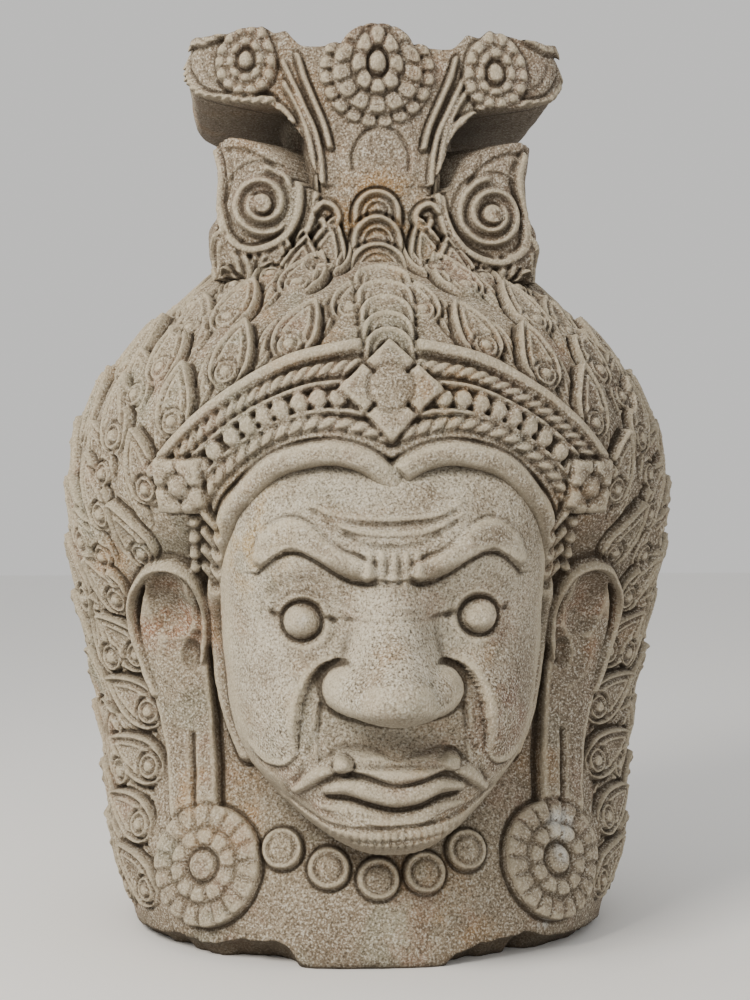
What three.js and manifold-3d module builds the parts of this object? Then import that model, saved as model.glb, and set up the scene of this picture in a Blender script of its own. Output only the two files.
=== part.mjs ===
// Head of an asura, carved from one block of sandstone: a heavy face under a diadem and a tiered crown,
// hair of overlapping leaves, long ears over rosettes, a disc necklace, and a neck cut off flat below.
// Millimetres, +Z up, the face looks along -Y, origin in the middle of the flat underside.
import * as THREE from 'three';
import { mergeVertices } from 'three/addons/utils/BufferGeometryUtils.js';
import Module from 'manifold-3d';

const wasm = await Module();
wasm.setup();

// Driving dimensions
const headHeight = 970; // flat underside to the top of the crown
const hairHalfWidth = 330; // the mass under the hair leaves, at its widest
const hairFront = 292; // the hair mass ahead of the ears' plane
const hairBack = 205; // the hair mass behind the ears' plane
const faceHalfWidth = 170;
const faceFront = 318; // cheeks and brow ahead of the ears' plane
const noseRise = 80; // nose tip above the cheeks
const noseHalfWidth = 46; // its ridge above the tip, without the wings
const crownHalfWidth = 196;
const crownFront = 128;
const crownBack = 140;

// Sizes of the carving
const leafRows = 9; // from the neck to the crown
const leavesAround = 20;
const leafRelief = 19; // step from one row of leaves to the next
const leafPoint = 15; // how far a leaf's tip stands above the notches beside it, in parts
const leafSunk = 4; // the leaves' feet, below the mass's outline
const bandRadius = 13; // plain heart-shaped band along the hairline
const filletRadius = 6.5; // plain cords of the diadem
const beadRadius = 10;
const groundRise = 5; // the diadem's ground above the hair mass
const centreFlower = 48; // half the diagonal
const sideFlower = 27;
const earRosette = 60;
const necklaceDisc = 20;
const topRosette = 47;
const crownRosette = 34;
const leafFront = 10; // the spiral leaves' front ahead of the crown's
const spiralRadius = 46;
const spiralRidge = 6;
const eyeRadius = 24;
const browRadius = 12;
const moustacheRadius = 11;
const earRim = 10;
const chipDepth = 17; // broken lower edge of the neck

// The carver's grid: equal rows up the height; one row is the part by which places on the free form are given
const gridRows = 970;
const part = headHeight / gridRows;

// Heights are in parts; widths and depths are shares of the mass's own sizes
const hairStations = [
  { z: 0, width: 0.79, front: 0.85, back: 0.85 },
  { z: 50, width: 0.83, front: 0.83, back: 0.9 },
  { z: 110, width: 0.865, front: 0.76, back: 0.95 },
  { z: 170, width: 0.88, front: 0.66, back: 0.99 },
  { z: 250, width: 0.915, front: 0.6, back: 1.01 },
  { z: 330, width: 0.96, front: 0.61, back: 1.02 },
  { z: 400, width: 0.995, front: 0.78, back: 1.03 },
  { z: 450, width: 1.0, front: 0.93, back: 1.03 },
  { z: 500, width: 0.995, front: 1.0, back: 1.01 },
  { z: 560, width: 0.95, front: 1.0, back: 0.97 },
  { z: 620, width: 0.83, front: 0.92, back: 0.9 },
  { z: 665, width: 0.69, front: 0.78, back: 0.82 },
  { z: 705, width: 0.54, front: 0.58, back: 0.72 },
];
const crownStations = [
  { z: 640, width: 0.96, front: 1.9, back: 1.2 },
  { z: 690, width: 0.93, front: 1.45, back: 1.12 },
  { z: 745, width: 0.9, front: 1.13, back: 1.03 },
  { z: 830, width: 0.62, front: 0.8, back: 0.94 },
  { z: 850, width: 0.5, front: 0.62, back: 0.9 },
  { z: 885, width: 0.5, front: 0.66, back: 0.92 },
  { z: 905, width: 0.66, front: 0.9, back: 0.97 },
  { z: 950, width: 0.72, front: 0.92, back: 1.0 },
];
// How far round from the front the stone is bare of leaves, in radians
const bareStations = [
  { z: 0, turn: 0.75 },
  { z: 150, turn: 0.8 },
  { z: 400, turn: 0.92 },
  { z: 500, turn: 0.8 },
  { z: 590, turn: 0.5 },
  { z: 625, turn: 0.05 },
  { z: 705, turn: 0.05 },
];
const faceOutline = [
  { z: 122, width: 0.2 },
  { z: 134, width: 0.42 },
  { z: 160, width: 0.66 },
  { z: 200, width: 0.84 },
  { z: 260, width: 0.96 },
  { z: 340, width: 1.0 },
  { z: 420, width: 0.98 },
  { z: 480, width: 0.84 },
  { z: 520, width: 0.6 },
];
const noseStations = [
  { z: 254, width: 0.7, front: 0.72, back: 1 },
  { z: 262, width: 0.95, front: 0.94, back: 1 },
  { z: 286, width: 0.88, front: 1, back: 1 },
  { z: 318, width: 0.66, front: 0.74, back: 1 },
  { z: 352, width: 0.5, front: 0.42, back: 1 },
  { z: 398, width: 0.44, front: 0.12, back: 1 },
];
const faceMidline = [
  { z: 122, front: 0.86 },
  { z: 134, front: 1.0 },
  { z: 160, front: 1.03 },
  { z: 172, front: 1.02 },
  { z: 210, front: 1.05 },
  { z: 250, front: 1.0 },
  { z: 345, front: 0.975 },
  { z: 385, front: 1.0 },
  { z: 410, front: 1.035 },
  { z: 440, front: 0.995 },
  { z: 490, front: 0.93 },
  { z: 520, front: 0.86 },
];

const stone = new THREE.MeshStandardMaterial({ color: 0xa0937f, roughness: 0.93, metalness: 0 });

// Closed geometry to solid; only places are kept, so that shared corners join
function solid(geometry) {
  geometry.deleteAttribute('normal');
  geometry.deleteAttribute('uv');
  const merged = mergeVertices(geometry, 1e-3);
  return new wasm.Manifold(
    new wasm.Mesh({
      numProp: 3,
      vertProperties: new Float32Array(merged.attributes.position.array),
      triVerts: new Uint32Array(merged.index.array),
    }),
  );
}

// A value between stations, eased so that the form has no corner where two stations meet
function between(stations, z, key) {
  const last = stations.length - 1;
  if (z <= stations[0].z) return stations[0][key];
  if (z >= stations[last].z) return stations[last][key];
  const i = stations.findIndex((station) => station.z > z) - 1;
  const slope = (j) => {
    const a = stations[Math.max(0, j - 1)];
    const b = stations[Math.min(last, j + 1)];
    return (b[key] - a[key]) / (b.z - a.z);
  };
  const span = stations[i + 1].z - stations[i].z;
  const t = (z - stations[i].z) / span;
  const start = stations[i][key];
  const end = stations[i + 1][key];
  const bend = (t - 1) * (t - 1) * t * slope(i) * span + t * t * (t - 1) * slope(i + 1) * span;
  return start + (end - start) * t * t * (3 - 2 * t) + bend;
}

const hump = (value, middle, spread) => Math.exp(-(((value - middle) / spread) ** 2));
const ramp = (value, from, to) => THREE.MathUtils.smoothstep(value, from, to);

// Rounded-square section of a mass at one height
function section(mass, z) {
  return {
    width: mass.halfWidth * between(mass.stations, z, 'width'),
    front: mass.front * between(mass.stations, z, 'front'),
    back: mass.back * between(mass.stations, z, 'back'),
  };
}

const hairMass = {
  stations: hairStations, halfWidth: hairHalfWidth, front: hairFront, back: hairBack, squareness: 2.2,
};
const noseMass = {
  stations: noseStations, halfWidth: noseHalfWidth, front: noseRise, back: noseRise, squareness: 2,
};
const crownMass = {
  stations: crownStations, halfWidth: crownHalfWidth, front: crownFront, back: crownBack, squareness: 3,
};

// Place on a mass by angle (0 to the right, a quarter turn back, minus a quarter turn to the front)
function onMass(mass, angle, z) {
  const { width, front, back } = section(mass, z);
  const power = 2 / mass.squareness;
  const c = Math.cos(angle);
  const s = Math.sin(angle);
  return new THREE.Vector3(
    width * Math.sign(c) * Math.abs(c) ** power,
    (s < 0 ? front : back) * Math.sign(s) * Math.abs(s) ** power,
    z * part,
  );
}

// How far a mass reaches forward at a place seen from the front
function reach(mass, x, z) {
  const { width, front } = section(mass, z);
  const across = Math.min(0.995, Math.abs(x) / width);
  return front * (1 - across ** mass.squareness) ** (1 / mass.squareness);
}

// Stacks rounded-square rings into a closed mass; the shape of each ring's corners is left to the caller
function loft(mass, sides, levels, placeOf) {
  const geometry = new THREE.CylinderGeometry(1, 1, 1, sides, levels).rotateX(Math.PI / 2);
  const position = geometry.attributes.position;
  for (let i = 0; i < position.count; i++) {
    const x = position.getX(i);
    const y = position.getY(i);
    const level = Math.round((position.getZ(i) + 0.5) * levels);
    const radius = Math.hypot(x, y);
    const place = placeOf(Math.atan2(y, x), level);
    position.setXYZ(i, radius * place.x, radius * place.y, place.z);
  }
  return solid(geometry);
}

// Where the stone is left smooth for the face, the diadem and the neck: 0 there, 1 among the leaves
function leafy(angle, z) {
  const turned = Math.abs(Math.atan2(Math.cos(angle), -Math.sin(angle)));
  const bare = between(bareStations, z, 'turn');
  return ramp(turned, bare - 0.06, bare + 0.1);
}

// Hair: rows of pointed leaves like shingles, each row shifted by half a leaf and stepped over the next.
// A row has two rings: its foot, and its zigzag edge of tips that stand out.
function hair() {
  const first = hairStations[0].z;
  const last = hairStations[hairStations.length - 1].z;
  const pitch = (last - first) / (leafRows + 0.5);
  const rings = 2;
  return loft(hairMass, 2 * leavesAround, leafRows * rings + 2, (angle, level) => {
    if (level === 0) return onMass(hairMass, angle, first);
    if (level === leafRows * rings + 2) return onMass(hairMass, angle, last);
    const row = Math.floor((level - 1) / rings);
    const ring = (level - 1) % rings;
    const corner = Math.round((angle / Math.PI) * leavesAround + 2 * leavesAround);
    const tip = (corner + row) % 2 === 0;
    const foot = first + row * pitch;
    const zigzag = ring === 0 ? (tip ? -1 : 1) : tip ? 1 : -1;
    const z = foot + pitch * [0.02, 1][ring] + (row || ring ? zigzag * leafPoint : 0);
    const swell = ring * (tip ? 1.25 : 0.7) * leafy(angle, z);
    const place = onMass(hairMass, angle, Math.max(z, first + 2));
    const out = new THREE.Vector2(place.x, place.y);
    out.setLength(out.length() + swell * leafRelief - leafSunk);
    return new THREE.Vector3(out.x, out.y, place.z);
  });
}

function crown() {
  const levels = 6;
  const first = crownStations[0].z;
  const last = crownStations[crownStations.length - 1].z;
  return loft(crownMass, 14, levels, (angle, level) => {
    return onMass(crownMass, angle, THREE.MathUtils.lerp(first, last, level / levels));
  });
}

// Face: a block whose front is pushed out to the carved surface
function faceReach(x, z) {
  const wide = Math.abs(x);
  const across = Math.min(1, wide / (faceHalfWidth * between(faceOutline, z, 'width')));
  const edge = 0.6;
  const middle = between(faceMidline, z, 'front');
  let share = edge + (middle - edge) * (1 - across ** 2.8) ** 0.55;
  share -= 0.06 * hump(wide, 84 * part, 34 * part) * hump(z, 352, 26);
  share += 0.05 * hump(wide, 104 * part, 36 * part) * hump(z, 268, 46);
  share -= 0.035 * hump(wide, 84 * part, 12 * part) * hump(z, 225, 40);
  share += 0.02 * hump(wide, 0, 60 * part) * hump(z, 200, 26);
  return faceFront * share;
}

function face(columns, rows) {
  const geometry = new THREE.BoxGeometry(2, 2, 1, columns, 1, rows);
  const position = geometry.attributes.position;
  const bottom = faceOutline[0].z;
  const top = faceOutline[faceOutline.length - 1].z;
  for (let i = 0; i < position.count; i++) {
    const z = THREE.MathUtils.lerp(bottom, top, position.getZ(i) + 0.5);
    const x = position.getX(i) * faceHalfWidth * between(faceOutline, z, 'width');
    const y = position.getY(i) < 0 ? -faceReach(x, z) : -0.2 * faceFront;
    position.setXYZ(i, x, y, z * part);
  }
  return solid(geometry);
}

// A frame on a surface: where it is, which way is out, and which way a motif points
function seat(surface, x, z, lean) {
  const step = 4 * part;
  const at = (px, pz) => new THREE.Vector3(px, -surface(px, pz), pz * part);
  const place = at(x, z);
  const right = at(x + step, z).sub(at(x - step, z));
  const up = at(x, z + 4).sub(at(x, z - 4));
  const out = right.cross(up).normalize();
  if (out.y > 0) out.negate();
  return { place, out, along: new THREE.Vector3(Math.sin(lean), 0, Math.cos(lean)) };
}

// Stands a shape made flat (length along Y, relief along Z) on a seat
function stand(geometry, { place, out, along }, lift = 0) {
  const side = new THREE.Vector3().crossVectors(along, out).normalize();
  const tip = new THREE.Vector3().crossVectors(out, side).normalize();
  const matrix = new THREE.Matrix4().makeBasis(side, tip, out);
  matrix.setPosition(place.clone().addScaledVector(out, lift));
  return solid(geometry.applyMatrix4(matrix));
}

const hairSurface = (x, z) => reach(hairMass, x, z);
const crownSurface = (x, z) => reach(crownMass, x, z);

function smoothCurve(points, surface, lift) {
  const places = points.map(([x, z]) => {
    return new THREE.Vector3(x * part, -surface(x * part, z) - lift, z * part);
  });
  return new THREE.CatmullRomCurve3(places);
}

// A cord laid along a curve on the stone
function cord(curve, radius, steps, sides = 4) {
  const outline = new THREE.Shape();
  for (let i = 0; i < sides; i++) {
    const angle = (2 * Math.PI * i) / sides;
    const x = radius * Math.cos(angle);
    const y = radius * Math.sin(angle);
    if (i) outline.lineTo(x, y);
    else outline.moveTo(x, y);
  }
  return solid(new THREE.ExtrudeGeometry(outline, { steps, bevelEnabled: false, extrudePath: curve }));
}

// Mirrored pairs: side is 1 for the right of the picture and -1 for the left
const bothSides = (make) => [1, -1].flatMap((side) => make(side));
const mirrored = (points, side) => points.map(([x, z]) => [side * x, z]);

// Diadem: rows between the hairline and its outer cord
const hairline = [[160, 300], [165, 366], [155, 446], [111, 498], [53, 511], [0, 487]];
const diademInner = [[176, 452], [122, 514], [58, 532], [0, 512]];
const diademOuter = [[226, 494], [192, 532], [133, 577], [53, 608], [0, 615]];
function diademRow(share, side) {
  const inner = smoothCurve(mirrored(diademInner, side), hairSurface, 0);
  const outer = smoothCurve(mirrored(diademOuter, side), hairSurface, 0);
  const count = 9;
  const places = Array.from({ length: count }, (_, i) => {
    const { x, z } = inner.getPointAt(i / (count - 1)).lerp(outer.getPointAt(i / (count - 1)), share);
    return [x / part, z / part];
  });
  return smoothCurve(places, hairSurface, 0);
}

// The diadem's raised ground, from just above the hairline to its outer cord
function diademGround() {
  const across = 16;
  const rises = [-0.02, 0.35, 0.7, 1.02];
  const geometry = new THREE.BoxGeometry(1, 1, 1, across, 1, rises.length - 1);
  const rows = rises.map((rise) => [1, -1].map((side) => diademRow(rise, side)));
  const position = geometry.attributes.position;
  for (let i = 0; i < position.count; i++) {
    const along = 2 * position.getX(i);
    const [right, left] = rows[Math.round((position.getZ(i) + 0.5) * (rises.length - 1))];
    const at = (along < 0 ? left : right).getPointAt(1 - Math.abs(along));
    position.setXYZ(i, at.x, position.getY(i) < 0 ? at.y - groundRise : at.y + 5 * groundRise, at.z);
  }
  return solid(geometry);
}

// Beads, upright or slanted like leaves, along one row
function beadRow(share, side, count, lean, slim) {
  const curve = diademRow(share, side);
  return Array.from({ length: count }, (_, i) => {
    const t = (i + 0.5) / count;
    const { x, z } = curve.getPointAt(t);
    const tangent = curve.getTangentAt(t);
    const bead = new THREE.OctahedronGeometry(beadRadius).scale(1 / slim, slim, 1);
    const on = seat(hairSurface, x, z / part, Math.atan2(tangent.x, tangent.z) + lean);
    return stand(bead, on, groundRise);
  });
}

// A round flower turned as one form: rings of petals are parted by lowering every second spoke
function turned(on, profile, petals, turn = 0) {
  const points = profile.map(([across, up]) => new THREE.Vector2(across, up));
  const geometry = new THREE.LatheGeometry(points, 2 * petals).rotateX(Math.PI / 2);
  const position = geometry.attributes.position;
  for (let i = 0; i < position.count; i++) {
    const angle = Math.atan2(position.getX(i), -position.getY(i));
    const spoke = Math.round((angle / Math.PI) * petals + 2 * petals) % 2;
    const radius = Math.hypot(position.getX(i), position.getY(i));
    const ring = profile.find(([across]) => Math.abs(across - radius) < 0.01);
    const [pull, drop] = spoke && ring && ring[2] ? ring[2] : [1, 0];
    position.setXYZ(i, position.getX(i) * pull, position.getY(i) * pull, position.getZ(i) - drop);
  }
  return stand(geometry.rotateZ(turn), on);
}

function flower(on, radius, turn) {
  const low = 0.2 * radius;
  const square = [0.74, 0];
  return turned(on, [
    [0, -0.7 * radius], [radius, -0.7 * radius, square], [1.01 * radius, low, square],
    [0.5 * radius, 0.42 * radius, [0.8, 0.2 * radius]], [0.32 * radius, 0.22 * radius],
    [0.26 * radius, 0.46 * radius], [0, 0.5 * radius],
  ], 4, turn);
}

function rosette(on, radius, petals) {
  const apart = [0.93, 0.1 * radius];
  const small = radius < 0.9 * earRosette;
  const innerPetals = [[0.64 * radius, 0.12 * radius], [0.48 * radius, 0.3 * radius, [1, 0.1 * radius]],
    [0.28 * radius, 0.14 * radius]];
  return turned(on, [
    [0, -0.7 * radius], [0.98 * radius, -0.7 * radius], [0.99 * radius, 0.05 * radius, apart],
    [0.86 * radius, 0.26 * radius, [1, 0.09 * radius]],
    ...(small ? [] : innerPetals),
    [0.2 * radius, 0.34 * radius], [0, 0.36 * radius],
  ], petals);
}

function ringedDisc(on, radius) {
  const profile = [[0, -1], [0.95, -1], [0.95, 0.3], [0.78, 0.42], [0.55, 0.2], [0, 0.42]];
  const points = profile.map(([across, up]) => new THREE.Vector2(across * radius, up * radius));
  return stand(new THREE.LatheGeometry(points, 7).rotateX(Math.PI / 2), on);
}

// Ears: a rim, a hollow between, and a long split lobe that ends behind the rosette
const earOutline = [
  [188, 352], [204, 398], [234, 404], [254, 372], [254, 330], [238, 296], [226, 250], [220, 190], [212, 140],
];
const innerLobe = [[190, 352], [196, 318], [204, 300], [200, 262], [196, 200], [192, 140]];
function ear(side) {
  const lift = 12 * part;
  const outer = cord(smoothCurve(mirrored(earOutline, side), hairSurface, lift), earRim, 9);
  const inner = cord(smoothCurve(mirrored(innerLobe, side), hairSurface, lift), earRim, 5);
  return [outer, inner];
}

// Crown: side volutes standing out over a notch, and spirals in leaves below it
function plate(outline, front, back) {
  const geometry = new THREE.ExtrudeGeometry(outline, {
    depth: front + back - 12, curveSegments: 3, bevelSegments: 1, bevelSize: 5, bevelThickness: 6,
  });
  return solid(geometry.rotateX(Math.PI / 2).translate(0, back - 6, 0));
}

function upperVolute(side) {
  const outline = new THREE.Shape();
  const at = (x, z) => [side * x * crownHalfWidth, z * part];
  outline.moveTo(...at(0.1, 885));
  outline.quadraticCurveTo(...at(0.3, 884), ...at(0.45, 893));
  outline.quadraticCurveTo(...at(0.62, 899), ...at(0.8, 893));
  outline.quadraticCurveTo(...at(0.97, 905), ...at(0.975, 954));
  outline.quadraticCurveTo(...at(0.7, 946), ...at(0.52, 956));
  outline.quadraticCurveTo(...at(0.3, 952), ...at(0.1, 915));
  return plate(outline, crownFront, 0.86 * crownBack);
}

function lowerLeaf(side) {
  const outline = new THREE.Shape();
  const at = (x, z) => [side * x * crownHalfWidth, z * part];
  outline.moveTo(...at(0.3, 720));
  outline.lineTo(...at(0.84, 716));
  outline.quadraticCurveTo(...at(0.8, 790), ...at(0.84, 846));
  outline.quadraticCurveTo(...at(0.5, 842), ...at(0.36, 806));
  outline.quadraticCurveTo(...at(0.26, 770), ...at(0.3, 720));
  return plate(outline, crownFront + leafFront, 0.9 * crownBack);
}

function spiral(side) {
  const turns = 1.9;
  const [middleX, middleZ] = [128 * part, 780 * part];
  const edge = 0.84 * crownHalfWidth;
  const points = Array.from({ length: 16 }, (_, i) => {
    const t = i / 15;
    const angle = Math.PI * (0.5 + 2 * turns * t);
    const radius = spiralRadius * (1 - 0.82 * t);
    const x = Math.min(edge, middleX + radius * Math.cos(angle));
    return new THREE.Vector3(side * x, -crownFront - leafFront, middleZ + radius * Math.sin(angle));
  });
  return cord(new THREE.CatmullRomCurve3(points), spiralRidge, 15);
}

function stem(side) {
  const surface = (x, z) => Math.max(crownSurface(x, z), crownFront - 2);
  const points = [[52, 918], [52, 880], [66, 840], [60, 800], [70, 740]];
  return cord(smoothCurve(mirrored(points, side), surface, 0), spiralRidge, 7);
}

// Centre column of scales, from the diadem's flower up to the crown's smooth shield
function column(count) {
  const surface = (x, z) => Math.max(hairSurface(x, z), crownSurface(x, z));
  return Array.from({ length: count }, (_, i) => {
    const z = THREE.MathUtils.lerp(634, 772, i / (count - 1));
    const scale = new THREE.CylinderGeometry(1, 1.1, 1, 8).rotateX(Math.PI / 2);
    scale.scale(31 * part, 24 * part, 60 * part);
    return stand(scale, seat(surface, 0, z, 0), (-16 - 5 * (i % 2)) * part);
  });
}

function shield() {
  const form = new THREE.SphereGeometry(1, 8, 6).scale(42 * part, 34 * part, 52 * part);
  return solid(form.translate(0, -crownFront - 8 * part, 832 * part));
}

function seated(surface, x, z, lift) {
  const on = seat(surface, x, z, 0);
  on.place.addScaledVector(on.out, lift);
  return on;
}

const facing = (x, y, z) => ({
  place: new THREE.Vector3(x, y, z), out: new THREE.Vector3(0, -1, 0), along: new THREE.Vector3(0, 0, 1),
});

function nose() {
  const levels = 6;
  const first = noseStations[0].z;
  const last = noseStations[noseStations.length - 1].z;
  const ridge = loft(noseMass, 8, levels, (angle, level) => {
    const place = onMass(noseMass, angle, THREE.MathUtils.lerp(first, last, level / levels));
    return place.setY(place.y - 0.99 * faceFront);
  });
  const wings = bothSides((side) => swelling(side * 45, 281, faceFront, [24, 40, 22], side * 0.25));
  return [ridge, ...wings];
}

// A rounded swelling of the face: its middle, how far forward that is, and its half sizes in parts
function swelling(x, z, forward, [wide, deep, high], tilt = 0) {
  const form = new THREE.SphereGeometry(1, 8, 5).scale(wide * part, deep * part, high * part);
  return solid(form.rotateY(tilt).translate(x * part, -forward, z * part));
}

function mouth() {
  const upper = bothSides((side) => swelling(side * 30, 196, faceFront, [44, 36, 9], side * 0.18));
  const lower = swelling(0, 178, faceFront, [58, 34, 11]);
  const chin = swelling(0, 147, 0.97 * faceFront, [52, 34, 20]);
  const moustache = bothSides((side) => [
    cord(smoothCurve(mirrored([[0, 212], [46, 216], [76, 190]], side), faceReach, 2), moustacheRadius, 5),
  ]);
  return [...upper, lower, chin, ...moustache];
}

const brow = [[24, 390], [56, 424], [94, 444], [130, 408]];
function faceDetails() {
  return bothSides((side) => {
    const x = side * 84 * part;
    const ball = new THREE.SphereGeometry(eyeRadius, 10, 6).rotateX(Math.PI / 2);
    ball.translate(x, -faceReach(x, 354) + 0.25 * eyeRadius, 354 * part);
    return [solid(ball), cord(smoothCurve(mirrored(brow, side), faceReach, 0), browRadius, 7)];
  });
}

// Chips broken from the lower front edge
function chips() {
  const places = [[-1.0, 0.8], [0.34, 1.2], [0.6, 1.4], [0.92, 0.8]];
  return places.map(([turn, depth]) => {
    const angle = turn * 1.1 - Math.PI / 2;
    const place = onMass(hairMass, angle, 0);
    const wedge = new THREE.CylinderGeometry(0.6 * chipDepth, 3.4 * chipDepth, 5 * chipDepth, 5);
    wedge.rotateX(Math.PI / 2).scale(1, 1, 0.4 * depth);
    return solid(wedge.translate(1.05 * place.x, 1.08 * place.y, 0));
  });
}

const joined = [
  hair(),
  crown(),
  face(16, 19),
  diademGround(),
  ...faceDetails(),
  ...nose(),
  ...mouth(),
  ...bothSides((side) => [
    cord(smoothCurve(mirrored(hairline, side), hairSurface, 4 * part), bandRadius, 8, 5),
    cord(diademRow(0.98, side), 1.3 * filletRadius, 6),
    cord(diademRow(0.62, side), filletRadius, 6),
    ...beadRow(0.3, side, 7, 0, 1),
    ...beadRow(0.8, side, 8, 0.8, 1.3),
    flower(seat(hairSurface, side * 200 * part, 480, 0), sideFlower, Math.PI / 4),
    ...ear(side),
    rosette(seated(hairSurface, side * 178 * part, 92, 8 * part), earRosette, 9),
    ringedDisc(seat(hairSurface, side * 47 * part, 98, 0), necklaceDisc),
    ringedDisc(seat(hairSurface, side * 93 * part, 113, 0), necklaceDisc),
    upperVolute(side),
    lowerLeaf(side),
    spiral(side),
    stem(side),
    rosette(facing(side * 134 * part, -crownFront, 926 * part), crownRosette, 9),
  ]),
  ringedDisc(seat(hairSurface, 0, 92, 0), necklaceDisc),
  flower(seated(hairSurface, 0, 570, 4 * part), centreFlower, 0),
  rosette(facing(0, -crownFront - 24 * part, headHeight - topRosette), topRosette, 11),
  ...column(5),
  shield(),
];

let carved = wasm.Manifold.union(joined);
for (const chip of chips()) carved = carved.subtract(chip);

// Pockets closed in behind overlapping leaves are solid stone, so only the outer skin is kept
const skins = carved.decompose().sort((a, b) => b.volume() - a.volume());
const mesh = skins[0].getMesh();
const geometry = new THREE.BufferGeometry();
geometry.setAttribute('position', new THREE.BufferAttribute(mesh.vertProperties, 3));
geometry.setIndex(new THREE.BufferAttribute(mesh.triVerts, 1));

const head = new THREE.Mesh(geometry, stone);
head.name = 'asura_head';

const model = new THREE.Group();
model.add(head);
export default model;
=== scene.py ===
# %% [markdown]
# # An asura head in weathered sandstone
#
# The real head is one block of coarse sandstone, cut by a mason's chisel and then left out in the
# rain. Its form is a few large rounded masses, and everything else is shallow carving on them:
# leaves, beads, cords, flowers and the folds of the face. So the lesson makes it as the mason does.
# Grids of points are wrapped round the masses, and then each ornament is carved into them with a
# few tools that raise, sink and score the stone.

# %% The frame from the solid model
import math

import bmesh
import bpy
import numpy as np
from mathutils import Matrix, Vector, noise


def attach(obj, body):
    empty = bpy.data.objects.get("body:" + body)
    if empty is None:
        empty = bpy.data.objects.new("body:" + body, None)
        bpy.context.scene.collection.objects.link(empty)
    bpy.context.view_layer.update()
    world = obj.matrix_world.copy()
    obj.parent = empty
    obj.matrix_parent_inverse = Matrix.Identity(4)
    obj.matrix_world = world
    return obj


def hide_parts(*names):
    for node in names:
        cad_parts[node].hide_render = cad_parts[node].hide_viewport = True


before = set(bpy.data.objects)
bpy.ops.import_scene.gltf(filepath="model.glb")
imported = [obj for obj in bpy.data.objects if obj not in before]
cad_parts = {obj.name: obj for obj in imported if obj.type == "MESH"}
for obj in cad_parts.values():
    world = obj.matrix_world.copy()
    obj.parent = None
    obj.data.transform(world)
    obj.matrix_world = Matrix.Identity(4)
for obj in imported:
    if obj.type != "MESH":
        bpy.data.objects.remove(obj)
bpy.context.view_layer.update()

# %% [markdown]
# ## The masses
#
# Hair, crown and crown leaves are rounded squares, stacked and eased from one height to the next.
# These are the same stations as in the solid, in millimetres, so that the carved head keeps the
# solid's form. Heights run up from the flat underside, and a turn is measured round from the front,
# positive to the right of the picture.

# %% Stations of the masses, in millimetres
HAIR_SIZE = (330.0, 292.0, 205.0)
CROWN_SIZE = (196.0, 128.0, 140.0)
HAIR_SQUARE = 2.2
CROWN_SQUARE = 3.0

HAIR_STATIONS = [
    (0, 0.79, 0.85, 0.85),
    (50, 0.83, 0.83, 0.9),
    (110, 0.865, 0.76, 0.95),
    (170, 0.88, 0.66, 0.99),
    (250, 0.915, 0.6, 1.01),
    (330, 0.96, 0.61, 1.02),
    (400, 0.995, 0.78, 1.03),
    (450, 1.0, 0.93, 1.03),
    (500, 0.995, 1.0, 1.01),
    (560, 0.95, 1.0, 0.97),
    (620, 0.83, 0.92, 0.9),
    (665, 0.69, 0.78, 0.82),
    (705, 0.54, 0.58, 0.72),
    (735, 0.4, 0.42, 0.55),
]
CROWN_STATIONS = [
    (660, 0.95, 1.3, 1.15),
    (690, 0.93, 1.24, 1.12),
    (720, 0.9, 1.13, 1.08),
    (745, 0.83, 1.05, 1.03),
    (830, 0.52, 0.7, 0.94),
    (850, 0.5, 0.62, 0.9),
    (885, 0.5, 0.66, 0.92),
    (905, 0.66, 0.9, 0.97),
    (950, 0.72, 0.92, 1.0),
]


def eased(z, stations, column=1):
    """A value between stations, with no corner where two stations meet."""
    table = np.array(stations, float)
    at, value = table[:, 0], table[:, column]
    last = len(at) - 1
    ahead, behind = np.minimum(np.arange(last + 1) + 1, last), np.maximum(np.arange(last + 1) - 1, 0)
    slope = (value[ahead] - value[behind]) / (at[ahead] - at[behind])
    i = np.clip(np.searchsorted(at, z, side="right") - 1, 0, last - 1)
    span = at[i + 1] - at[i]
    t = np.clip((z - at[i]) / span, 0, 1)
    bend = (t - 1) ** 2 * t * slope[i] * span + t * t * (t - 1) * slope[i + 1] * span
    return value[i] + (value[i + 1] - value[i]) * t * t * (3 - 2 * t) + bend


def sizes_at(z, stations, size):
    return [eased(z, stations, k + 1) * size[k] for k in range(3)]


def ray_reach(turn, wide, front, back, square):
    """How far out a rounded square lies at a turn from the front."""
    across, ahead = np.abs(np.sin(turn)), np.abs(np.cos(turn))
    deep = np.where(np.cos(turn) > 0, front, back)
    return ((across / wide) ** square + (ahead / deep) ** square) ** (-1 / square)


def front_reach(x, wide, front, square):
    """How far forward a rounded square lies at a place across the front."""
    return front * (1 - np.minimum(0.995, np.abs(x) / wide) ** square) ** (1 / square)


# %% [markdown]
# ## Three grids for one stone
#
# The block is one piece of stone. Its mesh is made as four closed skins, for the neck, the hair,
# the crown and the face, because one mesh of fewer than 200,000 triangles can't hold the fine
# carving of all of them. Crown and face meet the rest where the carving has a deep crease anyway.
# Neck and hair are carved on one grid and parted only at the end, each tucked under the other. A
# grid is wrapped into a tube, fine at the front and the sides and coarser at the back.

# %% A grid round an upright axis
COARSE = 1.0


def wrap(low, high, row_step, fine_turn, fine_to=2.0, back_turn=0.021):
    """Turns from the front and heights of a tube's points, with their two lists."""
    fine = np.linspace(0, fine_to, int(fine_to / (fine_turn * COARSE)) + 1)
    rear = np.linspace(fine_to, math.pi, int((math.pi - fine_to) / (back_turn * COARSE)) + 1)[1:]
    half = np.concatenate([fine, rear])
    turns = np.concatenate([-half[::-1], half[1:]])
    heights = np.linspace(low, high, int((high - low) / (row_step * COARSE)) + 1)
    return (*np.meshgrid(turns, heights), turns, heights)


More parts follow.
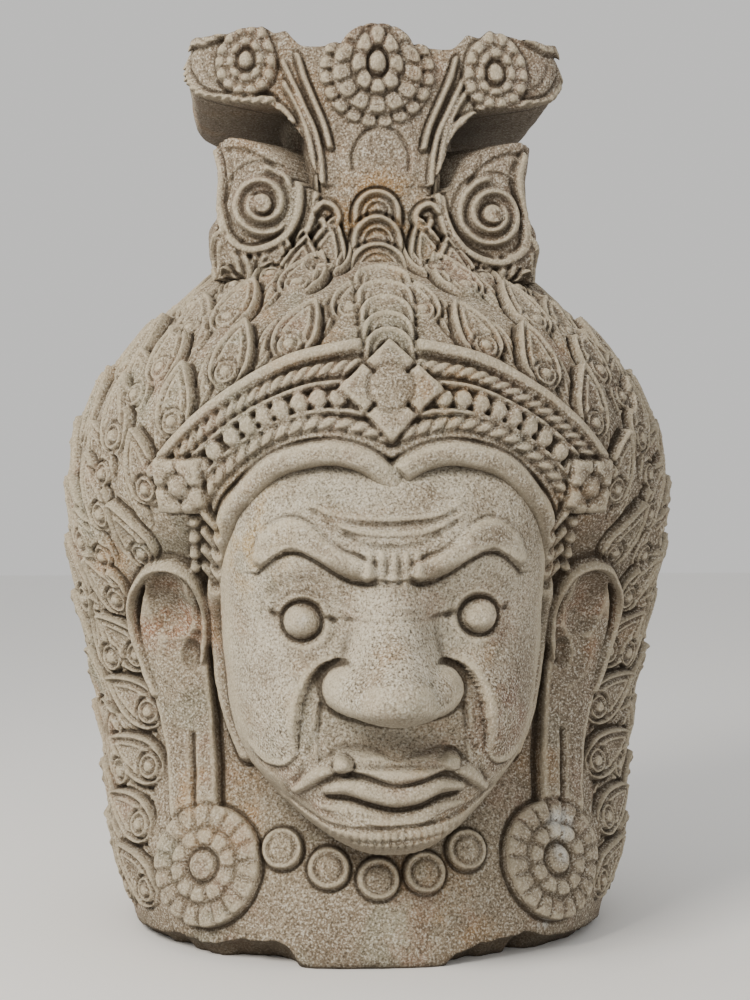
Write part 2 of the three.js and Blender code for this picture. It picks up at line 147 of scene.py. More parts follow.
def outward(turn, out, wide, front, back, square):
    """The level direction that points straight out of a rounded square."""
    x, y = out * np.sin(turn), -out * np.cos(turn)
    deep = np.where(y < 0, front, back)
    nx = np.sign(x) * (np.abs(x) / wide) ** (square - 1) / wide
    ny = np.sign(y) * (np.abs(y) / deep) ** (square - 1) / deep
    size = np.hypot(nx, ny) + 1e-12
    return nx / size, ny / size


def soft(inside, width=2.0):
    """Nought outside an edge and one inside it, eased over a small width."""
    t = np.clip(inside / width + 0.5, 0, 1)
    return t * t * (3 - 2 * t)


# %% The hair and neck
HAIR_TOP = 735.0
turn_h, high_h, turns_h, heights_h = wrap(0, HAIR_TOP, 1.45, 0.0047)
wide, front, back = sizes_at(high_h, HAIR_STATIONS, HAIR_SIZE)
out_h = ray_reach(turn_h, wide, front, back, HAIR_SQUARE)
nx, ny = outward(turn_h, out_h, wide, front, back, HAIR_SQUARE)
climb = np.gradient(out_h, heights_h, axis=0) * (nx * np.sin(turn_h) - ny * np.cos(turn_h))
nz = -np.clip(climb, -3, 1)
length = np.sqrt(nx**2 + ny**2 + nz**2)
hair_outward = np.stack([nx, ny, nz], axis=-1) / length[..., None]
hair_places = np.stack([out_h * np.sin(turn_h), -out_h * np.cos(turn_h), high_h], axis=-1)
print("hair and neck:", high_h.shape, "points, half", round(float(hair_places[..., 0].max())), "mm wide")

# %% [markdown]
# ## The crown's plates
#
# The crown is a narrow core with a pillar at its middle and leaves that stand out at its sides: a
# lower pair with spirals, an upper pair with rosettes, and a deep dark notch between them. Each of
# these plates is a rounded box, kept only inside its outline.

# %% Outlines of the crown
LEAF_TOP = [(60, 790), (85, 803), (95, 819), (112, 836), (133, 845), (155, 850), (172, 846)]
VOLUTE_BOTTOM = [
    (60, 800), (73, 829), (78, 847), (93, 866), (112, 881), (138, 884), (165, 887), (189, 895),
    (206, 912),
]
TOP_EDGE = [
    (0, 946), (40, 950), (56, 947), (80, 947), (90, 955), (97, 962), (110, 960), (120, 966),
    (128, 964), (140, 963), (150, 960), (160, 958), (172, 957), (182, 955), (194, 956), (200, 950),
    (206, 938),
]
PILLAR_SIDE = [(690, 78), (950, 78)]
LEAF_SIDE = [
    (690, 172), (717, 172), (738, 178), (757, 179), (772, 170), (806, 167), (827, 169), (850, 172),
]
VOLUTE_SIDE = [(829, 120), (860, 150), (887, 172), (897, 190), (911, 198), (932, 201), (955, 199)]
CROWN_LOW, CROWN_HIGH = 660.0, 950.0
PLATE_FRONT = 134.0


def on_pillar(x, z):
    return z > 715


def on_leaf(x, z):
    return (z > 700) & (z < eased(x, LEAF_TOP))


def on_volute(x, z):
    return z > eased(x, VOLUTE_BOTTOM)


# Each plate has its half-width at each height, its back, how square it is and where it is kept.
PLATES = [
    (PILLAR_SIDE, 128, 5, on_pillar),
    (LEAF_SIDE, 126, 9, on_leaf),
    (VOLUTE_SIDE, 120, 9, on_volute),
]

# %% The crown's grid
turn_c, high_c, _, heights_c = wrap(CROWN_LOW, CROWN_HIGH, 1.3, 0.0070)
wide, front, back = sizes_at(high_c, CROWN_STATIONS, CROWN_SIZE)
core_out = ray_reach(turn_c, wide, front, back, CROWN_SQUARE)
core_nx, core_ny = outward(turn_c, core_out, wide, front, back, CROWN_SQUARE)
plate_out = np.ones_like(core_out)
for half_wide, back, square, is_kept in PLATES:
    out = ray_reach(turn_c, eased(high_c, half_wide), PLATE_FRONT, back, square)
    keep = is_kept(np.abs(out * np.sin(turn_c)), high_c)
    plate_out = np.where(keep, np.maximum(plate_out, out), plate_out)
plate_nx, plate_ny = outward(turn_c, plate_out, np.full_like(high_c, 180.0), PLATE_FRONT, 126, 9)
out_c = np.maximum(core_out, plate_out)
on_plate = plate_out > core_out
outward_x, outward_y = np.where(on_plate, (plate_nx, plate_ny), (core_nx, core_ny))
crown_outward = np.stack([outward_x, outward_y, 0 * high_c], axis=-1)
crown_places = np.stack([out_c * np.sin(turn_c), -out_c * np.cos(turn_c), high_c], axis=-1)
print("crown:", high_c.shape, "points, half", round(float(crown_places[..., 0].max())), "mm wide")

# %% [markdown]
# ## Carving tools
#
# A ground is a set of places with a rise at each. A tool works in the seat of one motif: along its
# tip, across, and out of the stone. It only touches the places near it, and every edge is eased
# over about two millimetres, because a worn edge is never sharp and a hard one would show the
# grid's steps.


# %% Ground, seats and paths
class Ground:
    """Rows of places on the stone and how far each is raised."""

    def __init__(self, places, front):
        self.shape = places.shape[:2]
        self.heights = places[:, 0, 2]
        self.places = places.reshape(-1, 3)
        self.rise = np.zeros(len(self.places))
        self.front = front

    def between(self, low, high):
        """The numbers of all places in the rows between two heights."""
        first, last = np.searchsorted(self.heights, [low, high])
        return np.arange(first * self.shape[1], last * self.shape[1])


def hair_front(x, z):
    """How far forward the hair lies at a place seen from the front."""
    wide, front, _ = sizes_at(z, HAIR_STATIONS, HAIR_SIZE)
    return front_reach(x, wide, front, HAIR_SQUARE)


def crown_front(x, z):
    """The same for the crown: whichever of its core and its plates lies furthest forward."""
    x, z = np.asarray(x, float), np.asarray(z, float)
    wide, front, _ = sizes_at(z, CROWN_STATIONS, CROWN_SIZE)
    forward = front_reach(x, wide, front, CROWN_SQUARE)
    for half_wide, _, square, is_kept in PLATES:
        plate = front_reach(x, eased(z, half_wide), PLATE_FRONT, square)
        forward = np.where(is_kept(np.abs(x), z), np.maximum(forward, plate), forward)
    return forward


hair = Ground(hair_places, hair_front)
crown = Ground(crown_places, crown_front)


def seat(ground, x, z, lean=0.0):
    """Where a motif sits, and its across, tip and outward directions; it leans to the right."""
    d = 4.0
    at = np.array([x, -ground.front(x, z), z], float)
    right = np.array([2 * d, -(ground.front(x + d, z) - ground.front(x - d, z)), 0.0])
    up = np.array([0.0, -(ground.front(x, z + d) - ground.front(x, z - d)), 2 * d])
    out = np.cross(right, up)
    out = out / np.linalg.norm(out)
    along = np.array([math.sin(lean), 0.0, math.cos(lean)])
    side = np.cross(along, out)
    side = side / np.linalg.norm(side)
    return at, side, np.cross(out, side), out


def hair_at(turn, z):
    """The place on the hair at a turn from the front and a height."""
    reach = ray_reach(turn, *sizes_at(z, HAIR_STATIONS, HAIR_SIZE), HAIR_SQUARE)
    return np.array([reach * math.sin(turn), -reach * math.cos(turn), z])


def seat_round(turn, z, lean=0.0):
    """A seat at a turn round the hair, also at the sides and the back."""
    right = hair_at(turn + 0.02, z) - hair_at(turn - 0.02, z)
    right = right / np.linalg.norm(right)
    up = hair_at(turn, z + 4) - hair_at(turn, z - 4)
    out = np.cross(right, up)
    out = out / np.linalg.norm(out)
    along = math.cos(lean) * np.array([0, 0, 1.0]) + math.sin(lean) * right
    side = np.cross(along, out)
    side = side / np.linalg.norm(side)
    return hair_at(turn, z), side, np.cross(out, side), out


def local(ground, place, size):
    """The places near a seat: which they are, and how far along its tip and across they lie."""
    at, side, tip, out = place
    rows = ground.between(at[2] - 1.5 * size, at[2] + 1.5 * size)
    off = ground.places[rows] - at
    close = np.abs(off).max(axis=1) < 1.5 * size
    near, off = rows[close], off[close]
    keep = np.abs(off @ out) < 0.9 * size + 14
    near, off = near[keep], off[keep]
    return near, off @ tip, off @ side


def bent(points, count=48):
    """A smooth path through a few points."""
    p = np.array(points, float)
    p = np.vstack([2 * p[0] - p[1], p, 2 * p[-1] - p[-2]])
    steps = np.linspace(0, len(p) - 3 - 1e-9, count)
    i = steps.astype(int)
    t = (steps - i)[:, None]
    a, b, c, d = p[i], p[i + 1], p[i + 2], p[i + 3]
    square, cube = 2 * a - 5 * b + 4 * c - d, 3 * b - a - 3 * c + d
    return 0.5 * (2 * b + (c - a) * t + square * t**2 + cube * t**3)


def mirrored(points, side):
    return [(side * x, z) for x, z in points]


def trail(ground, points, reach):
    """The places near a path, how far from it and along it they are, their side, and its length."""
    path = bent(points)
    path = np.stack([path[:, 0], -ground.front(path[:, 0], path[:, 1]), path[:, 1]], axis=1)
    low, high = path.min(axis=0) - reach, path.max(axis=0) + reach
    rows = ground.between(low[2], high[2])
    spots = ground.places[rows]
    close = ((spots > low) & (spots < high)).all(axis=1)
    near, spots = rows[close], spots[close]
    best = np.full(len(near), 1e9)
    along = np.zeros(len(near))
    side = np.zeros(len(near))
    gone = 0.0
    for a, b in zip(path[:-1], path[1:]):
        step = b - a
        span = np.linalg.norm(step) + 1e-9
        t = np.clip((spots - a) @ step / span**2, 0, 1)
        off = spots - a - t[:, None] * step
        far = np.sqrt((off**2).sum(axis=1))
        closer = far < best
        best = np.where(closer, far, best)
        along = np.where(closer, gone + t * span, along)
        cross = step[0] * off[:, 2] - step[2] * off[:, 0]
        side = np.where(closer, np.sign(cross), side)
        gone += span
    keep = best < reach
    return near[keep], best[keep], along[keep], side[keep], gone


# %% Tools that raise and score
def lay(ground, near, share, rise):
    """Sets the stone to a rise where share is one."""
    ground.rise[near] = ground.rise[near] * (1 - share) + rise * share


def dip(far, width):
    """The rounded section of a cut or a rib: one in the middle of its width."""
    return np.exp(-((far / width) ** 2))


def rope(ground, points, radius, rise, groove=2.4, twist=0.0, pitch=11.0):
    """A round cord with a scored line on each side; a twist cuts it into slanted beads."""
    near, far, along, side, _ = trail(ground, points, radius + 4)
    inside = np.clip(1 - (far / radius) ** 2, 0, 1) ** 0.5
    top = rise * (0.4 + 0.6 * inside)
    if twist:
        phase = ((along + twist * side * far) / pitch) % 1
        top = top - 0.45 * rise * dip(np.abs(phase - 0.5) * pitch, 1.8)
    lay(ground, near, soft(radius - far, 1.6), top)
    ground.rise[near] -= groove * dip(far - radius - 1.2, 1.5)


def score(ground, points, width=3.0, depth=2.8):
    """A scored line that runs out at both ends."""
    near, far, along, _, total = trail(ground, points, 2.5 * width)
    ends = np.clip(np.minimum(along, total - along) / 5, 0.15, 1)
    ground.rise[near] -= ends * depth * dip(far, 0.58 * width)


def ridge(ground, points, width, rise):
    """A soft ridge that is added to what is there."""
    near, far, _, _, _ = trail(ground, points, 2.5 * width)
    ground.rise[near] += rise * dip(far, width)


def broad_trail(ground, points, widths, spare):
    """The places near a path, how far from it they are, and its changing half-width there."""
    near, far, along, _, total = trail(ground, points, max(widths) + spare)
    return near, far, np.interp(along / total, np.linspace(0, 1, len(widths)), widths)


def band(ground, points, widths, rise, edge=2.4, crowned=0.3):
    """A flat band that is added to what is there."""
    near, far, half_width = broad_trail(ground, points, widths, 6)
    share = soft(half_width - far, edge)
    ground.rise[near] += share * rise * (1 - crowned * np.clip(far / half_width, 0, 1) ** 2)


def disc(ground, place, radius, rise, crowned=0.35, groove=2.4):
    """A round boss with a scored ring at its foot."""
    near, u, v = local(ground, place, radius + 6)
    far = np.hypot(u, v)
    lay(ground, near, soft(radius - far, 1.6), rise * (1 - crowned * np.clip(far / radius, 0, 1) ** 2))
    ground.rise[near] -= groove * dip(far - radius - 1.4, 1.6)


def petals(ground, place, inner, outer, count, rise, turned=0.0, round_ends=0.5, crown_by=2.0):
    """A ring of petals, parted by scored spokes and rounded at their outer ends."""
    near, u, v = local(ground, place, outer + 6)
    far = np.hypot(u, v)
    angle = (np.arctan2(v, u) / (2 * math.pi) * count + turned) % 1
    off = np.abs(angle - 0.5) * 2
    edge_out = outer - round_ends * (outer - inner) * 0.5 * off**3
    share = soft(edge_out - far, 1.6) * soft(far - inner, 1.6)
    spoke = (1 - off) * math.pi * far / count
    swell = np.sin(math.pi * np.clip((far - inner) / (outer - inner), 0, 1))
    top = rise - crown_by * (1 - swell) - 4.4 * dip(spoke, 1.9)
    lay(ground, near, share, top)


print("tools ready; the grounds have", len(hair.places), "and", len(crown.places), "places")

# %% [markdown]
# ## Leaves of the hair
#
# Each leaf is pointed like a flame, with a rounded rim and an eye of rings at its foot. Plain narrow
# leaves fill the gaps between. The rows start at the crown and go down, so that each leaf laps the
# one above it, and at the outline their tips make the scallops of the photo. Towards the back they
# grow larger and plainer.

# %% One leaf
LEAF_LENGTH = 70.0
LEAF_HALF = 25.0


def leaf(ground, place, scale=1.0, plain=False, lift=0.0):
    """One flame-shaped leaf with its eye at the seat."""
    long, half_wide = LEAF_LENGTH * scale, LEAF_HALF * scale
    near, u, v = local(ground, place, long)
    t = np.clip((u + 0.26 * long) / (1.22 * long), 0, 1)
    outline = half_wide * 2.5 * t**0.5 * (1 - t) ** 0.92
    edge = np.where((t > 0) & (t < 1), outline - np.abs(v), -9.0)
    edge = np.minimum(edge, (u + 0.26 * long) * 1.2)
    slope = lift + 4.5 + 8.5 * np.clip(u / long, -0.3, 1)
    rim = 2.4 * dip(edge - 3.0, 2.2) - 4.4 * dip(edge - 7.8, 1.9) + 2.0 * dip(edge - 11.4, 2.0)
    hollow = -2.0 * soft(edge - 15, 4) * soft(u - 12, 8)
    top = slope + (0.6 * rim if plain else rim + hollow)
    lay(ground, near, soft(edge, 2.0), top)
    ground.rise[near] -= 5.0 * dip(edge + 1.8, 2.0)
    return ground, place, scale, lift


def eye_of_leaf(ground, place, scale, lift):
    """The rings at a leaf's foot."""
    near, u, v = local(ground, place, 24 * scale)
    far = np.hypot(u, v) / scale
    dome = 4.0 * np.clip(1 - (far / 7.4) ** 2, 0, 1) ** 0.5
    rings = 3.0 * dip(far - 11.8, 1.7) - 3.2 * dip(far - 8.6, 1.4)
    lay(ground, near, soft(14.0 - far, 2.0), lift + 5.2 + dome + rings)
    ground.rise[near] += np.where(far > 14, 2.6 * dip(far - 18.4, 1.8), 0) - 3.8 * dip(far - 15.2, 1.6)


def filler(ground, place, scale):
    """A narrow plain leaf between two others, with a double scored line."""
    long, half_wide = 58.0 * scale, 12.0 * scale
    near, u, v = local(ground, place, long)
    t = np.clip((u + 0.2 * long) / (1.15 * long), 0, 1)
    edge = np.where((t > 0) & (t < 1), half_wide * 1.9 * t**0.6 * (1 - t) ** 0.6 - np.abs(v), -9.0)
    top = 2.2 + 5.0 * np.clip(u / long, 0, 1) - 3.4 * dip(edge - 4.6, 1.6)
    lay(ground, near, soft(edge, 2.0), top)
    ground.rise[near] -= 4.0 * dip(edge + 1.6, 1.8)


# %% Rows of leaves
OUTER_LEAVES = [
    (86, 684), (156, 647), (222, 597), (271, 530), (286, 451), (272, 361), (252, 301), (240, 241),
    (238, 183), (248, 122), (240, 56),
]
OUTER_LEAN = [0.1, 0.0, -0.1, -0.2, -0.45, -0.75, -0.98, -1.12, -1.2, -1.22, -1.22]
INNER_LEAVES = [(36, 652), (96, 615), (157, 589), (210, 542), (236, 477), (243, 412)]
INNER_LEAN = [0.2, 0.3, 0.15, 0.05, -0.3, -0.5]
SECOND_OUTER = [(60, 706), (112, 700), (150, 690), (196, 640), (250, 572), (284, 492), (288, 406)]
SECOND_LEAN = [0.2, 0.0, -0.1, -0.3, -0.5, -0.75, -0.95]
BACK_ROWS = 62.0
BACK_PITCH = 64.0
BACK_FROM = 1.28


def both_grounds(z):
    """A leaf near the crown's foot is carved on the hair and on the crown."""
    return (hair, crown) if z > 640 else (hair,)


def back_leaves():
    eyes = []
    for row, z in enumerate(np.arange(668, 10, -BACK_ROWS)):
        pitch = BACK_PITCH / (float(eased(z, HAIR_STATIONS)) * HAIR_SIZE[0])
        start = BACK_FROM if z < 560 else BACK_FROM - 0.28
        count = int((math.pi - start) / pitch)
        for k in range(count + 1):
            turn = start + (k + 0.5 * (row % 2)) * (math.pi - start) / count
            for side in (1, -1):
                if turn < math.pi + 0.01:
                    place = seat_round(side * turn, float(z), side * 0.12)
                    eyes.append(leaf(hair, place, 1.12, plain=turn > 2.0, lift=-1.0))
    return eyes


def front_leaves(side):
    eyes = []
    rows = [
        (SECOND_OUTER, SECOND_LEAN, 0.95, -2.0),
        (OUTER_LEAVES, OUTER_LEAN, 1.0, 0.0),
        (INNER_LEAVES, INNER_LEAN, 0.92, 0.5),
    ]
    for places, leans, scale, lift in rows:
        for i, ((x, z), lean) in enumerate(zip(places, leans)):
            for ground in both_grounds(z):
                if i + 1 < len(places):
                    next_x, next_z = places[i + 1]
                    middle_x, middle_z = side * (x + next_x) / 2, (z + next_z) / 2
                    filler(ground, seat(ground, middle_x, middle_z, -side * (lean - 0.1)), scale)
                eyes.append(leaf(ground, seat(ground, side * x, z, -side * lean), scale, lift=lift))
    return eyes


eyes = back_leaves() + front_leaves(1) + front_leaves(-1)
for ground, place, scale, lift in eyes:
    eye_of_leaf(ground, place, scale, lift)
print(len(eyes), "leaves carved in the hair")

# %% [markdown]
# ## Diadem
#
# Between the plain heart-shaped band at the hairline and a thick outer cord run rows of slanted
# beads, round beads and thin cords. A large flower of four petals stands at the middle and a
# smaller one at each end.

# %% Diadem rows, hairline band and flowers
DIADEM_INNER = [(176, 452), (160, 482), (122, 514), (90, 528), (58, 532), (26, 525), (0, 512)]
DIADEM_OUTER = [
    (226, 494), (212, 514), (192, 534), (163, 558), (133, 577), (95, 597), (53, 608), (0, 617),
]
HAIRLINE = [
    (134, 206), (147, 238), (156, 275), (161, 310), (165, 366), (155, 446), (137, 474), (111, 498),
    (82, 508), (53, 511), (24, 503), (0, 485),
]


def diadem_row(share, side, count=12):
    """A row of the diadem, a share of the way from its inner edge to its outer cord."""
    inner, outer = bent(mirrored(DIADEM_INNER, side), count), bent(mirrored(DIADEM_OUTER, side), count)
    return [tuple(p) for p in inner * (1 - share) + outer * share]


def beads(side, share, count, radius, rise, start=0.06, stop=0.84):
    """Round beads along a row of the diadem."""
    path = bent(diadem_row(share, side), 200)
    for i in range(count):
        x, z = path[int((start + (stop - start) * (i + 0.5) / count) * 199)]
        disc(hair, seat(hair, x, z), radius, rise, crowned=0.18, groove=3.4)


def square_flower(place, radius, rise, diamond):
    """Four petals round a disc: pointed ones on the middle flower, square ones at the ends."""
    near, u, v = local(hair, place, radius + 8)
    big, small = np.maximum(np.abs(u), np.abs(v)), np.minimum(np.abs(u), np.abs(v))
    if diamond:
        edge = 0.5 * radius - (np.abs(big - 0.54 * radius) * 0.95 + small)
        lay(hair, near, soft(0.86 * radius - np.abs(u) - np.abs(v), 4), 8.0)
    else:
        edge = radius - big
    lay(hair, near, soft(edge, 2.0), rise - 1.5 * dip(edge, 4))
    if not diamond:
        hair.rise[near] -= 5.0 * dip(small, 2.0) * soft(edge, 2.0)
    hair.rise[near] -= 4.0 * dip(edge + 1.8, 1.8)
    disc(hair, place, 0.44 * radius, rise + 1.0, crowned=0.2, groove=4.6)


for side in (1, -1):
    for share in np.linspace(0.02, 1.0, 8):
        near, far, _, _, _ = trail(hair, diadem_row(share, side), 12)
        lay(hair, near, soft(9.0 - far, 3), 6.5)
for side in (1, -1):
    rope(hair, diadem_row(1.0, side), 8.0, 14.0, groove=3.6)
    rope(hair, diadem_row(0.8, side), 7.6, 11.5, groove=2.4, twist=-1.0, pitch=12.5)
    rope(hair, diadem_row(0.63, side), 3.6, 11.5, groove=3.2)
    rope(hair, diadem_row(0.29, side), 3.6, 11.5, groove=3.2)
    rope(hair, diadem_row(0.12, side), 7.0, 10.5, groove=2.4, twist=-0.8, pitch=15.0)
    beads(side, 0.46, 10, 9.4, 11.5)
    rope(hair, mirrored(HAIRLINE, side), 12.5, 18.0, groove=2.6)
    square_flower(seat(hair, side * 201, 480), 26, 15.0, diamond=False)
    for z in (446, 430, 414, 400):
        disc(hair, seat(hair, side * 188, z), 6.4, 11.0, groove=2.2)
    for z in (450, 432, 414, 396):
        rope(hair, [(side * 166, z - 8), (side * 178, z + 6)], 5.2, 11.0)
print("diadem carved")

# %% [markdown]
# ## Ears, rosettes and necklace
#
# The ears are long and hollow with a raised rim, and their split lobes hang down behind a large
# round rosette. Five ringed discs on the neck are all that shows of the necklace.

# %% Ears
EAR_RIM = [
    (181, 300), (177, 330), (179, 364), (192, 392), (214, 403), (236, 396), (251, 372), (252, 344),
    (246, 314), (237, 284), (228, 262),
]
EAR_MIDDLE = [(213, 374), (213, 345), (210, 310), (203, 270), (196, 230), (191, 190), (189, 134)]
EAR_WIDTHS = [30, 38, 37, 33, 29, 28, 28]
HOLLOW = [(214, 384), (215, 366), (211, 346)]
HOLLOW_WIDTHS = [18, 27, 22]
ANTIHELIX = [(186, 340), (202, 336), (218, 326), (221, 302), (212, 280), (197, 268)]


def ear(side):
    near, far, half_width = broad_trail(hair, mirrored(EAR_MIDDLE, side), EAR_WIDTHS, 10)
    rounded = np.clip(1 - (far / half_width) ** 4, 0, 1) ** 0.5
    lay(hair, near, soft(half_width - far, 3.0), 9.0 + 5.0 * rounded)
    hair.rise[near] -= 4.0 * dip(far - half_width - 2, 2.5)
    near, far, half_width = broad_trail(hair, mirrored(HOLLOW, side), HOLLOW_WIDTHS, 13)
    hair.rise[near] -= 11.0 * np.clip(1 - (far / half_width) ** 2, 0, 1) ** 0.7
    rope(hair, mirrored(EAR_RIM, side), 5.4, 18.0, groove=0.8)
    ridge(hair, mirrored(ANTIHELIX, side), 7.0, 4.0)
    near, u, v = local(hair, seat(hair, side * 190, 306), 22)
    hair.rise[near] -= 9.0 * np.clip(1 - (u / 19) ** 2 - (v / 11) ** 2, 0, 1) ** 0.7
    score(hair, mirrored([(189, 226), (188, 190), (187, 140)], side), 4.4, 7.0)


# %% Rosettes and necklace
def rosette(ground, place, radius, rise, outer_count, inner_count):
    """A round flower of two rings of petals round a boss."""
    near, u, v = local(ground, place, radius + 8)
    far = np.hypot(u, v)
    lay(ground, near, soft(radius + 1 - far, 2.4), rise - 5.0)
    ground.rise[near] -= 3.2 * dip(far - radius - 1.8, 1.8)
    petals(ground, place, 0.66 * radius, radius, outer_count, rise)
    petals(ground, place, 0.34 * radius, 0.6 * radius, inner_count, rise + 1.0, turned=0.5)
    disc(ground, place, 0.25 * radius, rise + 2.0, groove=3.0)


def ringed_disc(x, z, radius, rise):
    place = seat(hair, x, z)
    disc(hair, place, radius, rise, crowned=0.05, groove=3.6)
    near, u, v = local(hair, place, radius)
    hair.rise[near] -= 4.0 * dip(np.hypot(u, v) - 0.64 * radius, 1.7)


NECKLACE = [(-102, 113), (-56, 96), (-7, 86), (40, 91), (84, 110)]
for side in (1, -1):
    ear(side)
    rosette(hair, seat(hair, side * 179, 92), 60, 13.0, 18, 10)
for x, z in NECKLACE:
    ringed_disc(x, z, 21, 8.0)
print("ears, rosettes and necklace carved")

# %% [markdown]
# ## Crown
#
# The front of the crown is nearly flat, and its carving is low. Ribbed stems rise at each side of a
# smooth shield and curl outwards into the volutes, spirals fill the lower leaves, and a column of
# arched scales, one over the other, climbs from the diadem.

# %% Crown carving
SPIRAL_AT = {1: (124, 771), -1: (122, 779)}
LOOP = {
    -1: [
        (113, 887), (97, 874), (89, 859), (86, 827), (83, 800), (84, 770), (100, 742), (133, 729),
        (157, 742), (165, 772), (163, 812), (168, 838),
    ],
    1: [
        (115, 881), (92, 870), (78, 856), (71, 831), (67, 794), (77, 757), (97, 730), (131, 718),
        (158, 733), (163, 757), (155, 808), (160, 836),
    ],
}
LEAF_EDGE = [(164, 838), (140, 835), (120, 826), (104, 812), (97, 798)]
STEM_INNER = [(84, 936), (76, 910), (66, 886), (56, 862), (50, 840)]
STEM_SECOND = [(98, 905), (84, 882), (74, 858), (68, 830), (64, 800), (68, 770), (74, 750)]
STEM_THIRD = [(100, 924), (88, 904), (77, 880), (66, 856), (60, 828), (58, 800)]
VOLUTE_RIM = [(200, 940), (198, 918), (186, 899), (165, 891), (140, 889), (113, 887)]
VOLUTE_LINE = [(188, 936), (184, 920), (172, 907), (150, 900), (128, 898), (108, 896)]
VOLUTE_TOP = [(196, 948), (184, 946), (172, 949), (160, 952)]
CURL = [(66, 772), (58, 780), (47, 777), (41, 767), (45, 756), (54, 755), (58, 762)]


def spiral(side):
    """The ridge that winds into the lower leaf, nearly twice round."""
    middle_x, middle_z = SPIRAL_AT[side]
    share = np.arange(49) / 48
    angle = math.pi * (0.45 - 3.6 * share)
    radius = 38 - 25 * share
    return list(zip(side * (middle_x - radius * np.cos(angle)), middle_z + radius * np.sin(angle)))


def winding(points, width, rise):
    """A ridge laid as short pieces that never lower what is there, so that none cuts another."""
    for i in range(0, len(points) - 1, 3):
        near, far, _, _, _ = trail(crown, points[i : i + 4], 3 * width)
        crown.rise[near] = np.maximum(crown.rise[near], rise * (1.7 * dip(far, width) - 0.7))


def crown_side(side):
    low_x, low_z = SPIRAL_AT[side]
    middle = seat(crown, side * low_x, low_z)
    near, u, v = local(crown, middle, 60)
    lay(crown, near, soft(46 - np.hypot(u, v), 4), -3.0)
    winding(spiral(side), 4.4, 5.0)
    disc(crown, middle, 11, 4.5, groove=2.6)
    rope(crown, mirrored(LOOP[side], side), 5.0, 6.5, groove=3.0)
    score(crown, mirrored([(x - 9 if z > 780 else x, z) for x, z in LOOP[side][8:]], side), 3.6, 3.6)
    score(crown, mirrored(LEAF_EDGE, side), 3.8, 3.8)
    rope(crown, mirrored(STEM_SECOND, side), 3.8, 5.5, groove=2.6)
    rope(crown, mirrored(STEM_THIRD, side), 3.4, 5.0, groove=2.6)
    rope(crown, mirrored(STEM_INNER, side), 3.4, 6.5, groove=3.4)
    rope(crown, mirrored(VOLUTE_RIM, side), 6.2, 7.5, groove=3.0, twist=-0.8, pitch=10.5)
    score(crown, mirrored(VOLUTE_LINE, side), 3.6, 3.6)
    rope(crown, mirrored(VOLUTE_TOP, side), 5.0, 5.5, groove=3.0, twist=0.8, pitch=9.5)
    rope(crown, mirrored(CURL, side), 3.8, 6.0, groove=2.8)
    score(crown, mirrored([(30, 879), (40, 882), (49, 880)], side), 3.8, 4.0)


for side in (1, -1):
    crown_side(side)
rosette(crown, seat(crown, -139, 924), 31, 7.5, 14, 8)
rosette(crown, seat(crown, 127, 917), 34, 7.5, 14, 8)
near, u, v = local(crown, seat(crown, 4, 832), 64)
crown.rise[near] += 6.0 * np.clip(1 - (u / 52) ** 2 - (v / 44) ** 2, 0, 1) ** 0.6
score(crown, [(-25, 812), (-26, 834), (-14, 855), (4, 862), (22, 855), (34, 834), (33, 812)], 4.0, 4.4)
top_place = seat(crown, 0, 921)
near, u, v = local(crown, top_place, 72)
far = np.hypot(u, v)
lay(crown, near, soft(61 - far, 3), 3.0)
petals(crown, top_place, 48, 61, 20, 8.0, round_ends=1.2)
near, u, v = local(crown, top_place, 56)
lay(crown, near, soft(47.5 - np.hypot(u, v), 3), 9.0)
petals(crown, top_place, 29, 47, 13, 14.0, round_ends=1.0)
petals(crown, top_place, 12, 27, 8, 17.0, turned=0.5, round_ends=0.8)
disc(crown, top_place, 9.5, 18.0, groove=3.4)

# %% Centre column
ARCHES = [(795, 26), (767, 28), (741, 32), (716, 30), (694, 29), (673, 27), (653, 26), (634, 25)]


def arch(ground, top, radius):
    """One scale of the centre column, whose arched edge stands out over the foot of the next above."""
    near, u, v = local(ground, seat(ground, 0, top - radius), radius + 14)
    far = np.where(u > 0, np.hypot(u, v), np.abs(v))
    share = soft(radius - far, 2.0) * soft(u + 0.8 * radius, 6)
    tilt = 3.0 + 8.0 * np.clip((u + 0.8 * radius) / (1.8 * radius), 0, 1)
    rim = 2.0 * dip(far - radius + 3.4, 2.2)
    lines = (4.2 * dip(far - radius + 8.4, 1.8) + 4.2 * dip(far - radius + 15.5, 1.8)) * soft(u + 8, 4)
    lay(ground, near, share, tilt + rim - lines)
    ground.rise[near] -= 4.0 * dip(far - radius - 1.6, 1.7) * soft(u + 10, 4)


for top, radius in ARCHES:
    if top > 650:
        arch(crown, top, radius)
    if top < 735:
        arch(hair, top, radius)
square_flower(seat(hair, 0, 571), 48, 14.0, diamond=True)
print("crown carved")

# %% [markdown]
# ## Face
#
# The face is carved on a flat ground of its own, one millimetre fine, whose rise is simply how far
# forward the stone lies. A broad block comes first, then brow, eye hollows, nose, cheeks and mouth,
# and the lines come last.

